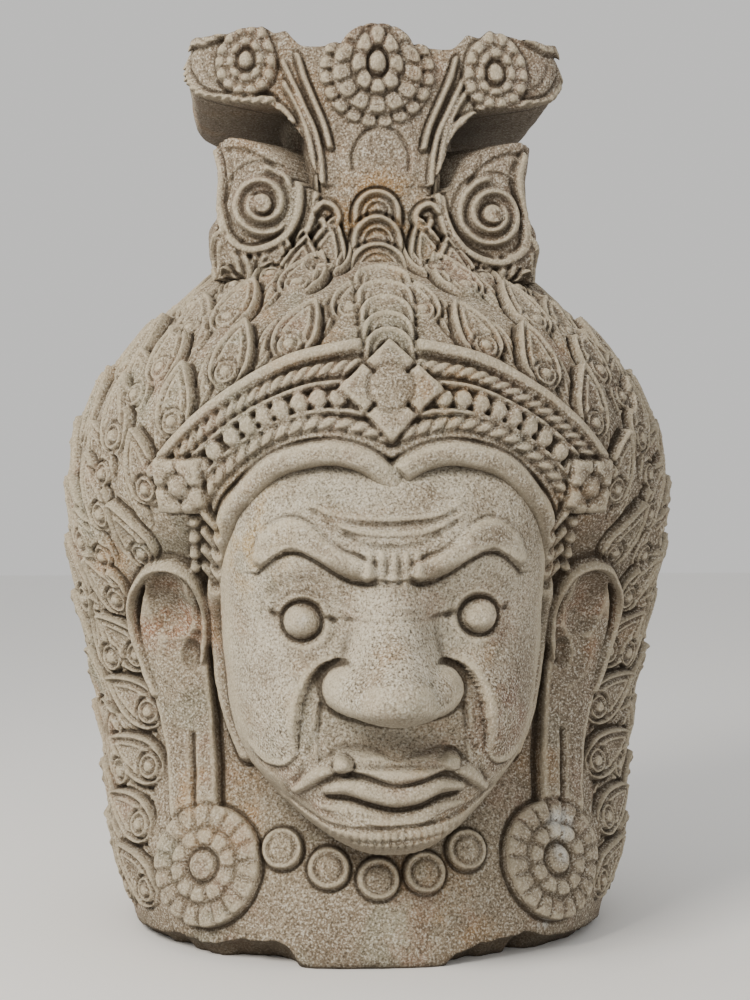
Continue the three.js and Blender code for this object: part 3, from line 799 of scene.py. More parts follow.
# %% The block of the face
FACE_X = np.arange(-176.0, 177.0)
FACE_Z = np.arange(110.0, 533.0)
FX, FZ = np.meshgrid(FACE_X, FACE_Z)
FACE_OUTLINE = [
    (110, 20), (122, 36), (130, 54), (140, 70), (150, 84), (170, 106), (188, 123), (203, 136),
    (220, 145), (250, 155), (300, 162), (340, 165), (400, 167), (450, 160), (480, 146), (505, 120),
    (532, 80),
]
FACE_MIDLINE = [
    (110, 190), (116, 240), (121, 276), (127, 304), (135, 322), (147, 331), (160, 330), (172, 324),
    (190, 322), (210, 322), (250, 314), (300, 308), (345, 308), (385, 315), (410, 322), (440, 317),
    (470, 308), (495, 296), (532, 268),
]
FACE_EDGE = [
    (110, 150), (122, 170), (150, 190), (250, 185), (340, 185), (400, 196), (450, 226), (500, 262),
    (532, 262),
]

wide_here = eased(FZ, FACE_OUTLINE)
across = np.abs(FX) / wide_here
bulge = np.maximum(0, 1 - across**2.9) ** 0.55
block = eased(FZ, FACE_EDGE) + (eased(FZ, FACE_MIDLINE) - eased(FZ, FACE_EDGE)) * bulge


def hump(value, middle, spread):
    return np.exp(-(((value - middle) / spread) ** 2))


ax = np.abs(FX)
block -= 16 * hump(ax, 84, 36) * hump(FZ, 354, 26)
block += 16 * hump(ax, 106, 34) * hump(FZ, 264, 44)
block += 6 * hump(ax, 0, 62) * hump(FZ, 200, 30)
block -= 7 * hump(ax, 0, 60) * hump(FZ, 240, 14)



def face_front(x, z):
    """The face's ground is flat, so that its rise alone says how far forward the stone lies."""
    return 0.0 * (x + z)


face = Ground(np.stack([FX, np.zeros_like(FX), FZ], axis=-1), face_front)
face.rise = block.ravel()


def blended(a, b, soften):
    """The higher of two forms, with a fillet where they meet."""
    mix = np.clip(0.5 + 0.5 * (b - a) / soften, 0, 1)
    return a * (1 - mix) + b * mix + soften * mix * (1 - mix)


def boulder(middle, half_sizes, soften=5.0, turn=0.0):
    """A rounded swelling: its middle across, up and forward, and its half sizes."""
    x, z, forward = middle
    a, b, c = half_sizes
    u = (FX - x) * math.cos(turn) + (FZ - z) * math.sin(turn)
    w = (FZ - z) * math.cos(turn) - (FX - x) * math.sin(turn)
    left = 1 - (u / a) ** 2 - (w / b) ** 2
    form = np.where(left > 0, forward + c * np.sqrt(np.maximum(left, 0)), -1e3).ravel()
    here = form > -900
    face.rise[here] = blended(face.rise[here], form[here], soften)


# %% Nose
NOSE_RIDGE = [
    (250, 24, 315), (258, 36, 366), (266, 44, 384), (284, 45, 394), (300, 42, 386), (320, 38, 366),
    (345, 36, 346), (372, 35, 331), (396, 33, 323), (412, 28, 316),
]
ridge_half, ridge_top = eased(FZ, NOSE_RIDGE, 1), eased(FZ, NOSE_RIDGE, 2)
fullness = np.interp(FZ, [285, 340], [0.75, 1.35])
ridge_share = np.clip(1 - (ax / (1.35 * ridge_half)) ** 2, 0, 1) ** fullness
on_ridge = (FZ > 250) & (FZ < 411) & (ridge_share > 0)
ridge_form = np.where(on_ridge, block - 8 + (ridge_top - block + 8) * ridge_share, -1e3).ravel()
face.rise = np.where(ridge_form > -900, blended(face.rise, ridge_form, 8), face.rise)
for side in (1, -1):
    boulder((side * 40, 285, 306), (28, 25, 44), 24, side * 0.25)
    score(face, mirrored([(29, 302), (33, 291), (31, 278), (26, 268)], side), 6.5, 1.8)
boulder((0, 280, 346), (38, 26, 49), 18)
nose_foot = eased(ax, [(0, 256), (20, 258), (36, 262), (52, 266), (66, 273), (80, 276)])
below = soft(nose_foot - FZ, 3) * (ax < 72) * soft(FZ - 205, 20)
furthest = 400
under_nose = np.minimum(block - 3, 318)
face.rise = np.minimum(face.rise, (furthest - below * (furthest - under_nose)).ravel())
print("nose tip", round(float(face.rise.max())), "mm forward")

# %% Brow and forehead
BROW = [(125, 411), (112, 428), (98, 434), (84, 430), (69, 420), (52, 408), (36, 401), (24, 397)]
BROW_WIDTHS = [9, 14, 15.5, 14.5, 12, 10.5, 10.5, 8.5]
BROW_FOOT = [(128, 396), (116, 410), (101, 417), (87, 416), (72, 408), (55, 397), (40, 389), (26, 387)]
BROW_LINE = [(124, 432), (116, 442), (98, 450), (81, 445), (66, 431), (48, 418), (33, 413), (22, 407)]
WRINKLES = [
    [(-80, 456), (-53, 446), (-22, 442), (10, 442), (43, 446), (66, 457)],
    [(-66, 446), (-40, 433), (-12, 428), (21, 429), (43, 435), (66, 447)],
    [(-50, 434), (-26, 424), (0, 421), (26, 424), (50, 434)],
]
GRAIN_HIGH, GRAIN_AT = face.places[:, 2], face.places[:, 0]

for side in (1, -1):
    band(face, mirrored(BROW, side), BROW_WIDTHS, 8.0, edge=4.0, crowned=0.45)
    near, far, _, _, _ = trail(face, mirrored(BROW_FOOT, side), 16)
    under = GRAIN_HIGH[near] < np.interp(np.abs(GRAIN_AT[near]), *np.array(sorted(BROW_FOOT)).T)
    face.rise[near] -= np.where(under, 8.0 * np.exp(-far / 6.0), 0)
    score(face, mirrored(BROW_LINE, side), 3.6, 2.0)
for line in WRINKLES:
    score(face, line, 5.0, 3.0)
    ridge(face, [(x, z + 6) for x, z in line], 4.5, 2.2)
for x in (-25, -12.5, 0, 12.5, 25):
    ridge(face, [(x, 390), (0.92 * x, 413)], 4.2, 4.2)
for x in (-19, -6.5, 6.5, 19):
    score(face, [(x, 391), (0.92 * x, 412)], 3.0, 1.4)
score(face, [(-30, 386), (-14, 388), (0, 386.5), (14, 388), (30, 386)], 4.4, 4.0)
score(face, [(-48, 352), (-22, 351), (0, 351), (22, 352), (56, 356)], 4.0, 2.6)
score(face, [(-40, 360), (-16, 358), (10, 359), (36, 358)], 3.0, 2.2)

# %% Eyes
EYES = {-1: (-85, 349), 1: (85, 354)}
EYE_RADIUS = 19
for side, (x, z) in EYES.items():
    off = np.hypot(GRAIN_AT - x, GRAIN_HIGH - z)
    socket = float(np.median(face.rise[off < 26]))
    face.rise += 5.0 * dip(off - 23.5, 4.0) + 2.0 * dip(off - 31, 5.0)
    ball = socket - 2 + EYE_RADIUS * np.sqrt(np.clip(1 - (off / EYE_RADIUS) ** 2, 0, 1))
    inside = soft(18.4 - off, 1.6)
    face.rise = face.rise * (1 - inside) + ball * inside
    face.rise -= 0.9 * dip(off - 19.2, 2.0)
    inner_corner = [(-19, 2), (-27, 2), (-36, -1)]
    outer_corner = [(19, 4), (26, 6), (33, 10)]
    fold_below = [(-34, -8), (-19, -26), (0, -33), (19, -26)]
    for line, width, depth in (
        (inner_corner, 5.0, 5.0),
        (outer_corner, 5.0, 5.0),
        (fold_below, 4.6, 1.8),
    ):
        score(face, [(x + side * right, z + up) for right, up in line], width, depth)

# %% Cheeks, moustache, mouth and chin
CHEEK_LINE = [
    (34, 314), (47, 315), (60, 312), (74, 303), (84, 288), (90, 269), (92, 247), (90, 226),
    (94, 214),
]
CHEEK_FOOT = [(92, 222), (100, 213), (113, 209), (127, 214), (139, 228)]
FOLD = [(66, 280), (70, 252), (79, 228), (85, 210), (94, 192)]
MOUSTACHE = [(-48, 221), (-25, 218), (0, 209), (25, 213), (47, 220)]
MOUTH = [(-66, 185), (-41, 184), (-20, 178), (1, 174), (23, 177), (40, 184), (66, 188)]
UPPER_LIP = [(-62, 192), (-44, 196), (-20, 190), (0, 186), (23, 188), (43, 196), (64, 194)]
BEARD_TOP = [(-98, 176), (-78, 164), (-56, 156), (-8, 157), (40, 161), (70, 169), (98, 183)]


def step(points, reach, raised, sunk, taper):
    """A low cliff along a path: one side swells and the other sinks, and both run out at the ends."""
    near, far, along, over, total = trail(face, points, 1.6 * reach)
    ends = np.clip(np.minimum(along, total - along) / taper, 0, 1)
    face.rise[near] += ends * np.where(over > 0, raised, -sunk) * np.exp(-((far / reach) ** 2))


for side in (1, -1):
    line, foot = mirrored(CHEEK_LINE, side), mirrored(CHEEK_FOOT, side)
    step(line[:: side], 16, 8.0, 5.0, 48)
    score(face, line[2:], 5.0, 2.2)
    step(foot[:: side], 12, 4.0, 7.0, 22)
    score(face, mirrored(FOLD, side), 5.0, 2.6)
    whisker = mirrored([(50, 218), (62, 213), (76, 203), (92, 187)], side)
    band(face, whisker, [9, 8, 7, 4], 8.0, edge=4.0, crowned=0.6)
band(face, MOUSTACHE, [10, 12, 12, 12, 10], 9.5, edge=5, crowned=0.6)
score(face, [(x, z - 12.5) for x, z in MOUSTACHE], 4.0, 2.6)
band(face, UPPER_LIP, [6, 9.5, 11, 12, 11, 9.5, 6], 8.5, edge=5, crowned=0.75)
score(face, MOUTH, 4.4, 6.0)
band(face, [(x, z - 11) for x, z in MOUTH], [4, 7, 8, 8, 8, 7, 4], 3.5, edge=6, crowned=0.8)
for x, z in ((-48, 216), (55, 219)):
    off = np.hypot(GRAIN_AT - x, GRAIN_HIGH - z)
    face.rise += 7.0 * np.clip(1 - (off / 9.5) ** 2, 0, 1) ** 0.5 - 2.4 * dip(off - 10.4, 1.7)
score(face, BEARD_TOP, 4.6, 3.0)
score(face, [(-46, 143), (0, 144), (50, 148)], 3.6, 1.8)
beard = soft(np.interp(GRAIN_AT, *np.array(BEARD_TOP, float).T) - 2 - GRAIN_HIGH, 3)
hatch = 1.1 * np.cos(2 * math.pi * GRAIN_AT / 7.2) * (np.abs(GRAIN_AT) < 66)
face.rise += beard * (2.5 + hatch)
print("face carved:", FX.shape)

# %% [markdown]
# ## From rises to points
#
# Hair and crown are pushed out along the stone's own outward direction. The face is met by level
# rays that come from outside towards an axis in the middle of the head, so that its steep sides and
# the nose also get their share of points. Every skin also gets a number at each point that says how
# deep it lies below its surroundings, so that shade can be painted into the cuts and a highlight onto
# the edges.


# %% Smoothing and depth of the cuts
CUT_OF_ONE = 3.0


def smoothed(values, times=1):
    for _ in range(times):
        values = values.copy()
        values[1:-1] = 0.25 * values[:-2] + 0.5 * values[1:-1] + 0.25 * values[2:]
        values[:, 1:-1] = 0.25 * values[:, :-2] + 0.5 * values[:, 1:-1] + 0.25 * values[:, 2:]
    return values


def averaged(values, reach):
    """The mean of the square of places round each place."""
    for axis in (0, 1):
        values = np.moveaxis(values, axis, 0)
        padded = np.concatenate([values[:1].repeat(reach + 1, 0), values, values[-1:].repeat(reach, 0)])
        total = padded.cumsum(axis=0)
        span = 2 * reach + 1
        values = np.moveaxis((total[span:] - total[:-span]) / span, 0, axis)
    return values


def depth_of_cut(values, reach):
    """Positive in a cut and negative on an edge; one stands for a few millimetres."""
    return np.clip((averaged(averaged(values, reach), reach) - values) / CUT_OF_ONE, -2, 3)


hair_rise = smoothed(hair.rise.reshape(hair.shape))
crown_rise = smoothed(crown.rise.reshape(crown.shape))
hair_points = hair_places + hair_rise[..., None] * hair_outward
crown_points = crown_places + crown_rise[..., None] * crown_outward
hair_cut, crown_cut = depth_of_cut(hair_rise, 3), depth_of_cut(crown_rise, 3)
face_cut_map = depth_of_cut(face.rise.reshape(FX.shape), 5)
print("deepest cut in the crown:", round(float(crown_cut.max()) * CUT_OF_ONE, 1), "mm")

# %% Rays to the face
AXIS_FORWARD = 110.0
BACK_OF_FACE = 95.0
RAY_START, RAY_END, RAY_STEP = 320.0, 5.0, 2.5
FACE_RISE = face.rise.reshape(FX.shape)


def between_points(values, row, column):
    """A value of a grid, read between its rows and columns."""
    row = np.clip(row, 0, values.shape[0] - 1.001)
    column = np.clip(column, 0, values.shape[1] - 1.001)
    i, j = row.astype(int), column.astype(int)
    a, b = row - i, column - j
    low = values[i, j] * (1 - b) + values[i, j + 1] * b
    high = values[i + 1, j] * (1 - b) + values[i + 1, j + 1] * b
    return low * (1 - a) + high * a


FACE_TOP = FACE_Z[-1] - 0.1
turn_f, high_f, _, _ = wrap(FACE_Z[0], FACE_TOP, 1.4, 0.0078, fine_to=1.7, back_turn=0.09)
outline_f = eased(high_f, FACE_OUTLINE)


def gap_at(out):
    """Negative inside the face: behind its front, within its outline and before its hidden back."""
    x, forward = out * np.sin(turn_f), AXIS_FORWARD + out * np.cos(turn_f)
    past_front = forward - between_points(FACE_RISE, high_f - FACE_Z[0], x - FACE_X[0])
    return np.maximum.reduce([past_front, np.abs(x) - outline_f, BACK_OF_FACE - forward])


out = np.full(turn_f.shape, RAY_START)
gap = gap_at(out)
met = np.full(turn_f.shape, 4.0)
open_still = np.ones(turn_f.shape, bool)
while out.flat[0] > RAY_END:
    nearer = out - RAY_STEP
    nearer_gap = gap_at(nearer)
    hit = open_still & (nearer_gap <= 0)
    crossing = nearer + RAY_STEP * np.clip(-nearer_gap / (gap - nearer_gap + 1e-9), 0, 1)
    met = np.where(hit, crossing, met)
    open_still &= ~hit
    out, gap = nearer, nearer_gap
face_points = np.stack([met * np.sin(turn_f), -AXIS_FORWARD - met * np.cos(turn_f), high_f], axis=-1)
face_cut = between_points(face_cut_map, high_f - FACE_Z[0], face_points[..., 0] - FACE_X[0])
print("face:", face_points.shape[:2], "points, nose at", round(float(-face_points[..., 1].min())), "mm")

# %% [markdown]
# ## Top, underside and breaks
#
# The crown's top follows the outlines of its volutes and of the middle rosette. The neck was cut
# off flat, and its lower edge has broken away, most of all at the right of the middle. The breaks
# stay as they are.


# %% Top edge of the crown
ROSETTE_HIGH = 922
ROSETTE_RADIUS = 47.5
ROSETTE_BACK = 96


def top_height(x, y):
    """The height of the crown's top: its edge, or the middle rosette's arc where that is higher."""
    edge = eased(np.abs(x), TOP_EDGE)
    arc = ROSETTE_HIGH + np.sqrt(np.clip(ROSETTE_RADIUS**2 - x**2, 0, None))
    on_rosette = (np.abs(x) < ROSETTE_RADIUS) & (y < -ROSETTE_BACK)
    return np.where(on_rosette, np.maximum(edge, arc), edge)


STRETCH_FROM = 905.0
upper = heights_c > STRETCH_FROM
share = ((heights_c[upper] - STRETCH_FROM) / (CROWN_HIGH - STRETCH_FROM))[:, None]
target = top_height(crown_points[upper][..., 0], crown_points[upper][..., 1])
crown_points[upper, :, 2] = STRETCH_FROM + share * (target - STRETCH_FROM)

# %% Broken lower edge
BREAKS = [
    (-3.15, 3), (-2.4, 6), (-1.8, 3), (-1.3, 6), (-1.05, 12), (-0.75, 17), (-0.5, 20), (-0.4, 15),
    (-0.34, 3), (-0.2, 1), (0.0, 1), (0.16, 0), (0.24, 2), (0.3, 13), (0.5, 18), (0.62, 21),
    (0.8, 14), (1.0, 10), (1.3, 5), (1.8, 4), (2.5, 7), (3.15, 3),
]
BROKEN_BELOW = 60
DEEPEST_BREAK = 26


def chatter(turns, times, seed):
    """An uneven line round the edge."""
    ring = [Vector((math.cos(t) * times, math.sin(t) * times, seed)) for t in turns]
    return np.array([noise.noise(place) for place in ring])


break_high = np.maximum(eased(turns_h, BREAKS), 0.5)
jagged = 1 + 0.5 * chatter(turns_h, 6, 3.1) + 0.15 * chatter(turns_h, 21, 7.7)
break_high = break_high * jagged + 1.5
uneven = 1 + 0.5 * chatter(turns_h, 11, 5.2)
depth_in = DEEPEST_BREAK * np.clip(break_high / 20, 0.08, 1.2) * uneven
for r in np.flatnonzero(heights_h < BROKEN_BELOW):
    bite = np.clip(1 - heights_h[r] / break_high, 0, 1) ** 0.6
    out_now = np.hypot(hair_points[r, :, 0], hair_points[r, :, 1])
    hair_points[r, :, :2] *= (1 - bite * depth_in / out_now)[:, None]


# %% Slow unevenness of a hand-cut, weathered block
def waviness(p):
    q = Vector(p) * 0.021
    return noise.noise(q) * 1.6 + noise.noise(q * 3.1) * 0.8 + noise.noise(q * 7.3) * 0.5


def weather(points, middle_forward=0.0):
    """Moves a skin in and out a little, away from its upright axis."""
    sample = points[::2, ::2]
    wave = np.array([waviness(p) for p in sample.reshape(-1, 3)]).reshape(sample.shape[:2])
    rows, columns = points.shape[:2]
    moved = between_points(wave, np.arange(rows)[:, None] / 2, np.arange(columns)[None, :] / 2)
    away = points[..., :2] + np.array([0.0, middle_forward])
    away = away / (np.linalg.norm(away, axis=-1, keepdims=True) + 1e-9)
    points[..., :2] += moved[..., None] * away


weather(hair_points)
weather(crown_points)
weather(face_points, AXIS_FORWARD)


# %% Close the ends of a skin
RINGS = 14
SEAM = 410.0
TUCK = 8.0
TUCK_SLOPE = 0.4


def level(height):
    """The flat end of a skin, as a function of the place."""
    return lambda x, y: np.full_like(x, height)


def below_top(x, y):
    """The crown's end, a little lower than the edge round it."""
    return top_height(x, y) - 3


def closed(points, cut, low, high, middle_forward=0.0):
    """Adds rings that shrink to the axis below and above; low and high give their heights."""

    def ring(edge, share, height):
        made = edge.copy()
        made[:, 0] *= share
        made[:, 1] = (edge[:, 1] + middle_forward) * share - middle_forward
        made[:, 2] = height(made[:, 0], made[:, 1])
        return made

    under = [ring(points[0], k / RINGS, low) for k in range(RINGS)]
    over = [ring(points[-1], 1 - k / RINGS, high) for k in range(1, RINGS + 1)]
    flat = np.zeros((RINGS, points.shape[1]))
    everything = np.concatenate([np.array(under), points, np.array(over)])
    return everything, np.concatenate([flat, cut, flat])


def tucked(rows, past_seam):
    """Some rows of the hair's grid, sunk a little where they run on under the other skin."""
    sunk = TUCK_SLOPE * np.clip(past_seam, 0, None)
    return hair_points[rows] - sunk[:, None, None] * hair_outward[rows]


hair_points[0, :, 2] = 0.0
at_neck, at_hair = heights_h < SEAM + TUCK, heights_h > SEAM - TUCK
neck_points = tucked(at_neck, heights_h[at_neck] - SEAM)
upper_points = tucked(at_hair, SEAM - heights_h[at_hair])
neck_skin = closed(neck_points, hair_cut[at_neck], level(0), level(SEAM))
hair_skin = closed(upper_points, hair_cut[at_hair], level(SEAM), level(HAIR_TOP))
crown_skin = closed(crown_points, crown_cut, level(CROWN_LOW), below_top)
face_skin = closed(face_points, face_cut, level(FACE_Z[0]), level(FACE_TOP), AXIS_FORWARD)

# %% [markdown]
# ## The meshes
#
# A flat grid has the same rows and columns as a skin, so it is made first and then bent into it.
# Its side edges meet at the back and its first and last rows shrink to a point, so they are merged.
# The Decimate modifier then spends the triangles where the carving is and saves them where the
# stone is smooth.

# %% One mesh from a skin
TRIANGLES = 194000


def triangle_count(mesh):
    return sum(len(polygon.vertices) - 2 for polygon in mesh.polygons)


def carved_piece(name, skin):
    """A closed mesh through the points of a skin, with the depth of its cuts as an attribute."""
    points, cut = skin
    rows, columns = points.shape[:2]
    bm = bmesh.new()
    bmesh.ops.create_grid(bm, x_segments=columns - 1, y_segments=rows - 1, size=0.5)
    mesh = bpy.data.meshes.new(name)
    bm.to_mesh(mesh)
    bm.free()
    flat = np.empty(len(mesh.vertices) * 3)
    mesh.vertices.foreach_get("co", flat)
    flat = flat.reshape(-1, 3)
    column_of = np.rint((flat[:, 0] + 0.5) * (columns - 1)).astype(int)
    row_of = np.rint((flat[:, 1] + 0.5) * (rows - 1)).astype(int)
    mesh.vertices.foreach_set("co", (points[row_of, column_of] * 0.001).ravel())
    depth = mesh.attributes.new("cut", "FLOAT", "POINT")
    depth.data.foreach_set("value", cut[row_of, column_of].astype(np.float32))
    bm = bmesh.new()
    bm.from_mesh(mesh)
    at_edge = [c in (0, columns - 1) or r in (0, rows - 1) for c, r in zip(column_of, row_of)]
    seam = [v for v, there in zip(bm.verts, at_edge) if there]
    bmesh.ops.remove_doubles(bm, verts=seam, dist=1e-5)
    bmesh.ops.recalc_face_normals(bm, faces=bm.faces)
    for f in bm.faces:
        f.smooth = True
    bm.to_mesh(mesh)
    bm.free()
    piece = bpy.data.objects.new(name, mesh)
    bpy.context.scene.collection.objects.link(piece)
    count = triangle_count(mesh)
    if count > TRIANGLES:
        thin = piece.modifiers.new("thin", "DECIMATE")
        thin.ratio = TRIANGLES / count
        thin.use_collapse_triangulate = True
        with bpy.context.temp_override(object=piece, active_object=piece):
            bpy.ops.object.modifier_apply(modifier=thin.name)
    print(name, "has", count, "triangles carved and", triangle_count(piece.data), "kept")
    return piece


# %% The four skins
stone_pieces = [
    carved_piece("asura_head_neck", neck_skin),
    carved_piece("asura_head_hair", hair_skin),
    carved_piece("asura_head_crown", crown_skin),
    carved_piece("asura_head_face", face_skin),
]

# %% [markdown]
# ## Sandstone
#
# The stone is a coarse grey-brown sandstone. Its sand grains are two or three millimetres wide, so
# they show as speckle and pits. Rain has bleached the raised forehead, cheeks and nose, lichen has
# greyed them, and iron stains warm the ears, the crown and the moustache. Shade is painted into the
# deep cuts, the hollows, the undersides and the right side, and a highlight onto the raised edges.

# %% Helpers for materials
def linear(hex_colour):
    """An sRGB hex value as a linear colour."""
    value = hex_colour.lstrip("#")
    channels = [int(value[i : i + 2], 16) / 255 for i in (0, 2, 4)]
    return tuple(c / 12.92 if c <= 0.04045 else ((c + 0.055) / 1.055) ** 2.4 for c in channels) + (1.0,)


def node(tree, kind, inputs=(), **settings):
    """Adds a node with its settings, its values and its links."""
    made = tree.nodes.new(kind)
    for name, value in settings.items():
        setattr(made, name, value)
    for socket, value in dict(inputs).items():
        if isinstance(value, bpy.types.NodeSocket):
            tree.links.new(value, made.inputs[socket])
        else:
            made.inputs[socket].default_value = value
    return made


# %% Patterns, layers and spots of the stone
# Each pattern has its size in millimetres, its detail and its roughness.
PATTERNS = {
    "broad": (160, 4, 0.55),
    "cloud": (52, 5, 0.6),
    "iron": (95, 5, 0.62),
    "lichen": (74, 4, 0.6),
    "rosy": (63, 5, 0.6),
    "grime": (44, 5, 0.66),
    "stain": (34, 4, 0.55),
    "lump": (14, 4, 0.55),
    "flake": (9, 3, 0.55),
    "grain": (4.0, 3, 0.65),
    "speck": (2.2, 2, 0.6),
}
# Each layer has what it follows, from where to where it grows, how strong it gets and its colour.
BODY_LAYERS = [
    ("broad", 0.36, 0.64, 1.0, "#a39680"),
    ("cloud", 0.5, 0.72, 0.55, "#b5a78f"),
    ("iron", 0.54, 0.7, 0.6, "#b08a5c"),
    ("lichen", 0.52, 0.66, 0.42, "#8b8d7a"),
    ("rosy", 0.53, 0.68, 0.42, "#a3806c"),
    ("grime", 0.5, 0.66, 0.42, "#6c5d4b"),
    # Painted shade: the stone is painted darker towards its right side, away from the light.
    ("to the right", 0.03, 0.26, 0.64, "#6f6355"),
    ("high up", 0.62, 0.86, 0.42, "#7f7064"),
]
GRAIN_LAYERS = [
    ("grain", 0.52, 0.64, 0.3, "#cbc1ad"),
    ("grain", 0.48, 0.36, 0.36, "#5f5344"),
]
SPECK_LAYERS = [
    ("speck", 0.53, 0.64, 0.75, "#e2dccd"),
    ("speck", 0.47, 0.34, 0.85, "#3d342a"),
]
# Painted light and shade: a highlight on raised edges, and shade in cuts, hollows and undersides.
PAINTED_LIGHT_AND_SHADE_LAYERS = [
    # Painted highlight: raised edges, where the cut depth is negative, are painted paler.
    ("depth of cut", -0.12, -0.6, 0.5, "#cdc1a8"),
    # Painted shade in hollows, where ambient occlusion finds the light blocked.
    ("open to the light", 0.84, 0.3, 0.66, "#40362a"),
    # Painted shade on undersides, whose normals point down.
    ("facing up", -0.2, -0.75, 0.6, "#3a3126"),
    # Painted shade in the cuts, mottled by the cloud pattern.
    ("shaded cut", 0.62, 1.5, 0.75, "#352b20"),
]
# Each spot has its middle, the radius within which it is full and the one at which it ends, in metres.
BLEACHED = ((-0.03, -0.3, 0.38), 0.1, 0.26)
IRON_STAINS = [
    ((0.0, -0.14, 0.765), 0.02, 0.075, "#a98350"),
    ((0.06, -0.3, 0.565), 0.01, 0.05, "#a5845a"),
    ((0.027, -0.345, 0.219), 0.007, 0.02, "#c79f5e"),
    ((-0.215, -0.14, 0.35), 0.02, 0.07, "#96694c"),
    ((0.215, -0.14, 0.34), 0.02, 0.07, "#8a6850"),
    ((0.12, -0.3, 0.25), 0.02, 0.07, "#7d6252"),
    ((-0.14, -0.27, 0.43), 0.02, 0.08, "#b39b70"),
]
LIME_SPOTS = [
    ((-0.085, -0.316, 0.352), 0.008, 0.016),
    ((0.19, -0.185, 0.128), 0.01, 0.023),
    ((0.184, -0.19, 0.098), 0.006, 0.015),
    ((0.165, -0.2, 0.034), 0.005, 0.013),
]
COARSE_SPOTS = [
    ((0, -0.38, 0.3), 0.03, 0.1),
    ((0.12, -0.3, 0.25), 0.02, 0.08),
    ((-0.12, -0.3, 0.24), 0.01, 0.06),
]
BUMPS = [("grain", 0.0024), ("speck", 0.0014), ("lump", 0.0022)]
SHADE_REACH = 0.05


# %% Weathered sandstone
def grown(tree, value, low, high, most=1.0):
    """Nought where a value is at low, and the most where it is at high."""
    inputs = {"Value": value, "From Min": low, "From Max": high, "To Max": most}
    return node(tree, "ShaderNodeMapRange", inputs, interpolation_type="SMOOTHSTEP").outputs["Result"]


def covered(tree, colour, amount, hex_colour):
    """A colour with an amount of another over it."""
    inputs = {0: amount, 6: colour, 7: linear(hex_colour)}
    return node(tree, "ShaderNodeMix", inputs, data_type="RGBA").outputs[2]


def weathered_sandstone(name, bleached):
    """Sandstone that the rain has bleached by a share, which is greatest on the face."""
    material = bpy.data.materials.new(name)
    material.use_nodes = True
    tree = material.node_tree
    shader = tree.nodes["Principled BSDF"]
    where = node(tree, "ShaderNodeTexCoord").outputs["Object"]
    follows = {}
    for word, (millimetres, detail, rough) in PATTERNS.items():
        inputs = {"Vector": where, "Scale": 1000 / millimetres, "Detail": detail, "Roughness": rough}
        follows[word] = node(tree, "ShaderNodeTexNoise", inputs).outputs["Fac"]
    place = node(tree, "ShaderNodeSeparateXYZ", {0: where})
    # How far right a place lies drives the painted shade on the right side.
    follows["to the right"], follows["high up"] = place.outputs["X"], place.outputs["Z"]
    facing = node(tree, "ShaderNodeNewGeometry").outputs["Normal"]
    follows["facing up"] = node(tree, "ShaderNodeSeparateXYZ", {0: facing}).outputs["Z"]
    # Ambient occlusion, which drives the painted shade in hollows.
    sky = node(tree, "ShaderNodeAmbientOcclusion", {"Distance": SHADE_REACH}, samples=6)
    follows["open to the light"] = sky.outputs["AO"]
    cut = node(tree, "ShaderNodeAttribute", attribute_name="cut").outputs["Fac"]
    follows["depth of cut"] = cut
    # Depth of cut, mottled, which drives the painted shade in the cuts.
    shaded = {0: follows["cloud"], 1: 0.9, 2: cut}
    follows["shaded cut"] = node(tree, "ShaderNodeMath", shaded, operation="MULTIPLY_ADD").outputs[0]

    def spot(middle, full, end, most):
        """The most near a place and nought further off."""
        off = node(tree, "ShaderNodeVectorMath", {0: where, 1: middle}, operation="DISTANCE")
        return grown(tree, off.outputs["Value"], end, full, most)

    colour = linear("#8c7e6b")
    for word, low, high, most, hex_colour in BODY_LAYERS:
        colour = covered(tree, colour, grown(tree, follows[word], low, high, most), hex_colour)
    pale = grown(tree, follows["cloud"], 0.3, 0.62, bleached)
    colour = covered(tree, colour, spot(*BLEACHED, pale), "#c5bba6")
    stain = grown(tree, follows["stain"], 0.42, 0.62, 0.85)
    for middle, full, end, hex_colour in IRON_STAINS:
        colour = covered(tree, colour, spot(middle, full, end, stain), hex_colour)
    lime = grown(tree, follows["flake"], 0.38, 0.5, 0.92)
    for middle, full, end in LIME_SPOTS:
        colour = covered(tree, colour, spot(middle, full, end, lime), "#dddcd5")
    for word, low, high, most, hex_colour in GRAIN_LAYERS:
        colour = covered(tree, colour, grown(tree, follows[word], low, high, most), hex_colour)
    coarse = 0.75
    for middle, full, end in COARSE_SPOTS:
        inputs = {0: coarse, 1: spot(middle, full, end, 0.35)}
        coarse = node(tree, "ShaderNodeMath", inputs, operation="ADD", use_clamp=True).outputs[0]
    for word, low, high, most, hex_colour in SPECK_LAYERS:
        most = node(tree, "ShaderNodeMath", {0: coarse, 1: most}, operation="MULTIPLY").outputs[0]
        colour = covered(tree, colour, grown(tree, follows[word], low, high, most), hex_colour)
    # Painted highlight on the raised edges, and painted shade in the cuts, hollows and undersides.
    for word, low, high, most, hex_colour in PAINTED_LIGHT_AND_SHADE_LAYERS:
        colour = covered(tree, colour, grown(tree, follows[word], low, high, most), hex_colour)

    height = 0.0
    for word, rise in BUMPS:
        inputs = {0: follows[word], 1: rise, 2: height}
        height = node(tree, "ShaderNodeMath", inputs, operation="MULTIPLY_ADD").outputs[0]
    bump = node(tree, "ShaderNodeBump", {"Height": height, "Strength": 1.0, "Distance": 1.0})
    tree.links.new(colour, shader.inputs["Base Color"])
    tree.links.new(bump.outputs["Normal"], shader.inputs["Normal"])
    shader.inputs["Roughness"].default_value = 0.92
    shader.inputs["Metallic"].default_value = 0.0
    shader.inputs["IOR"].default_value = 1.5
    shader.inputs["Specular IOR Level"].default_value = 0.25
    return material


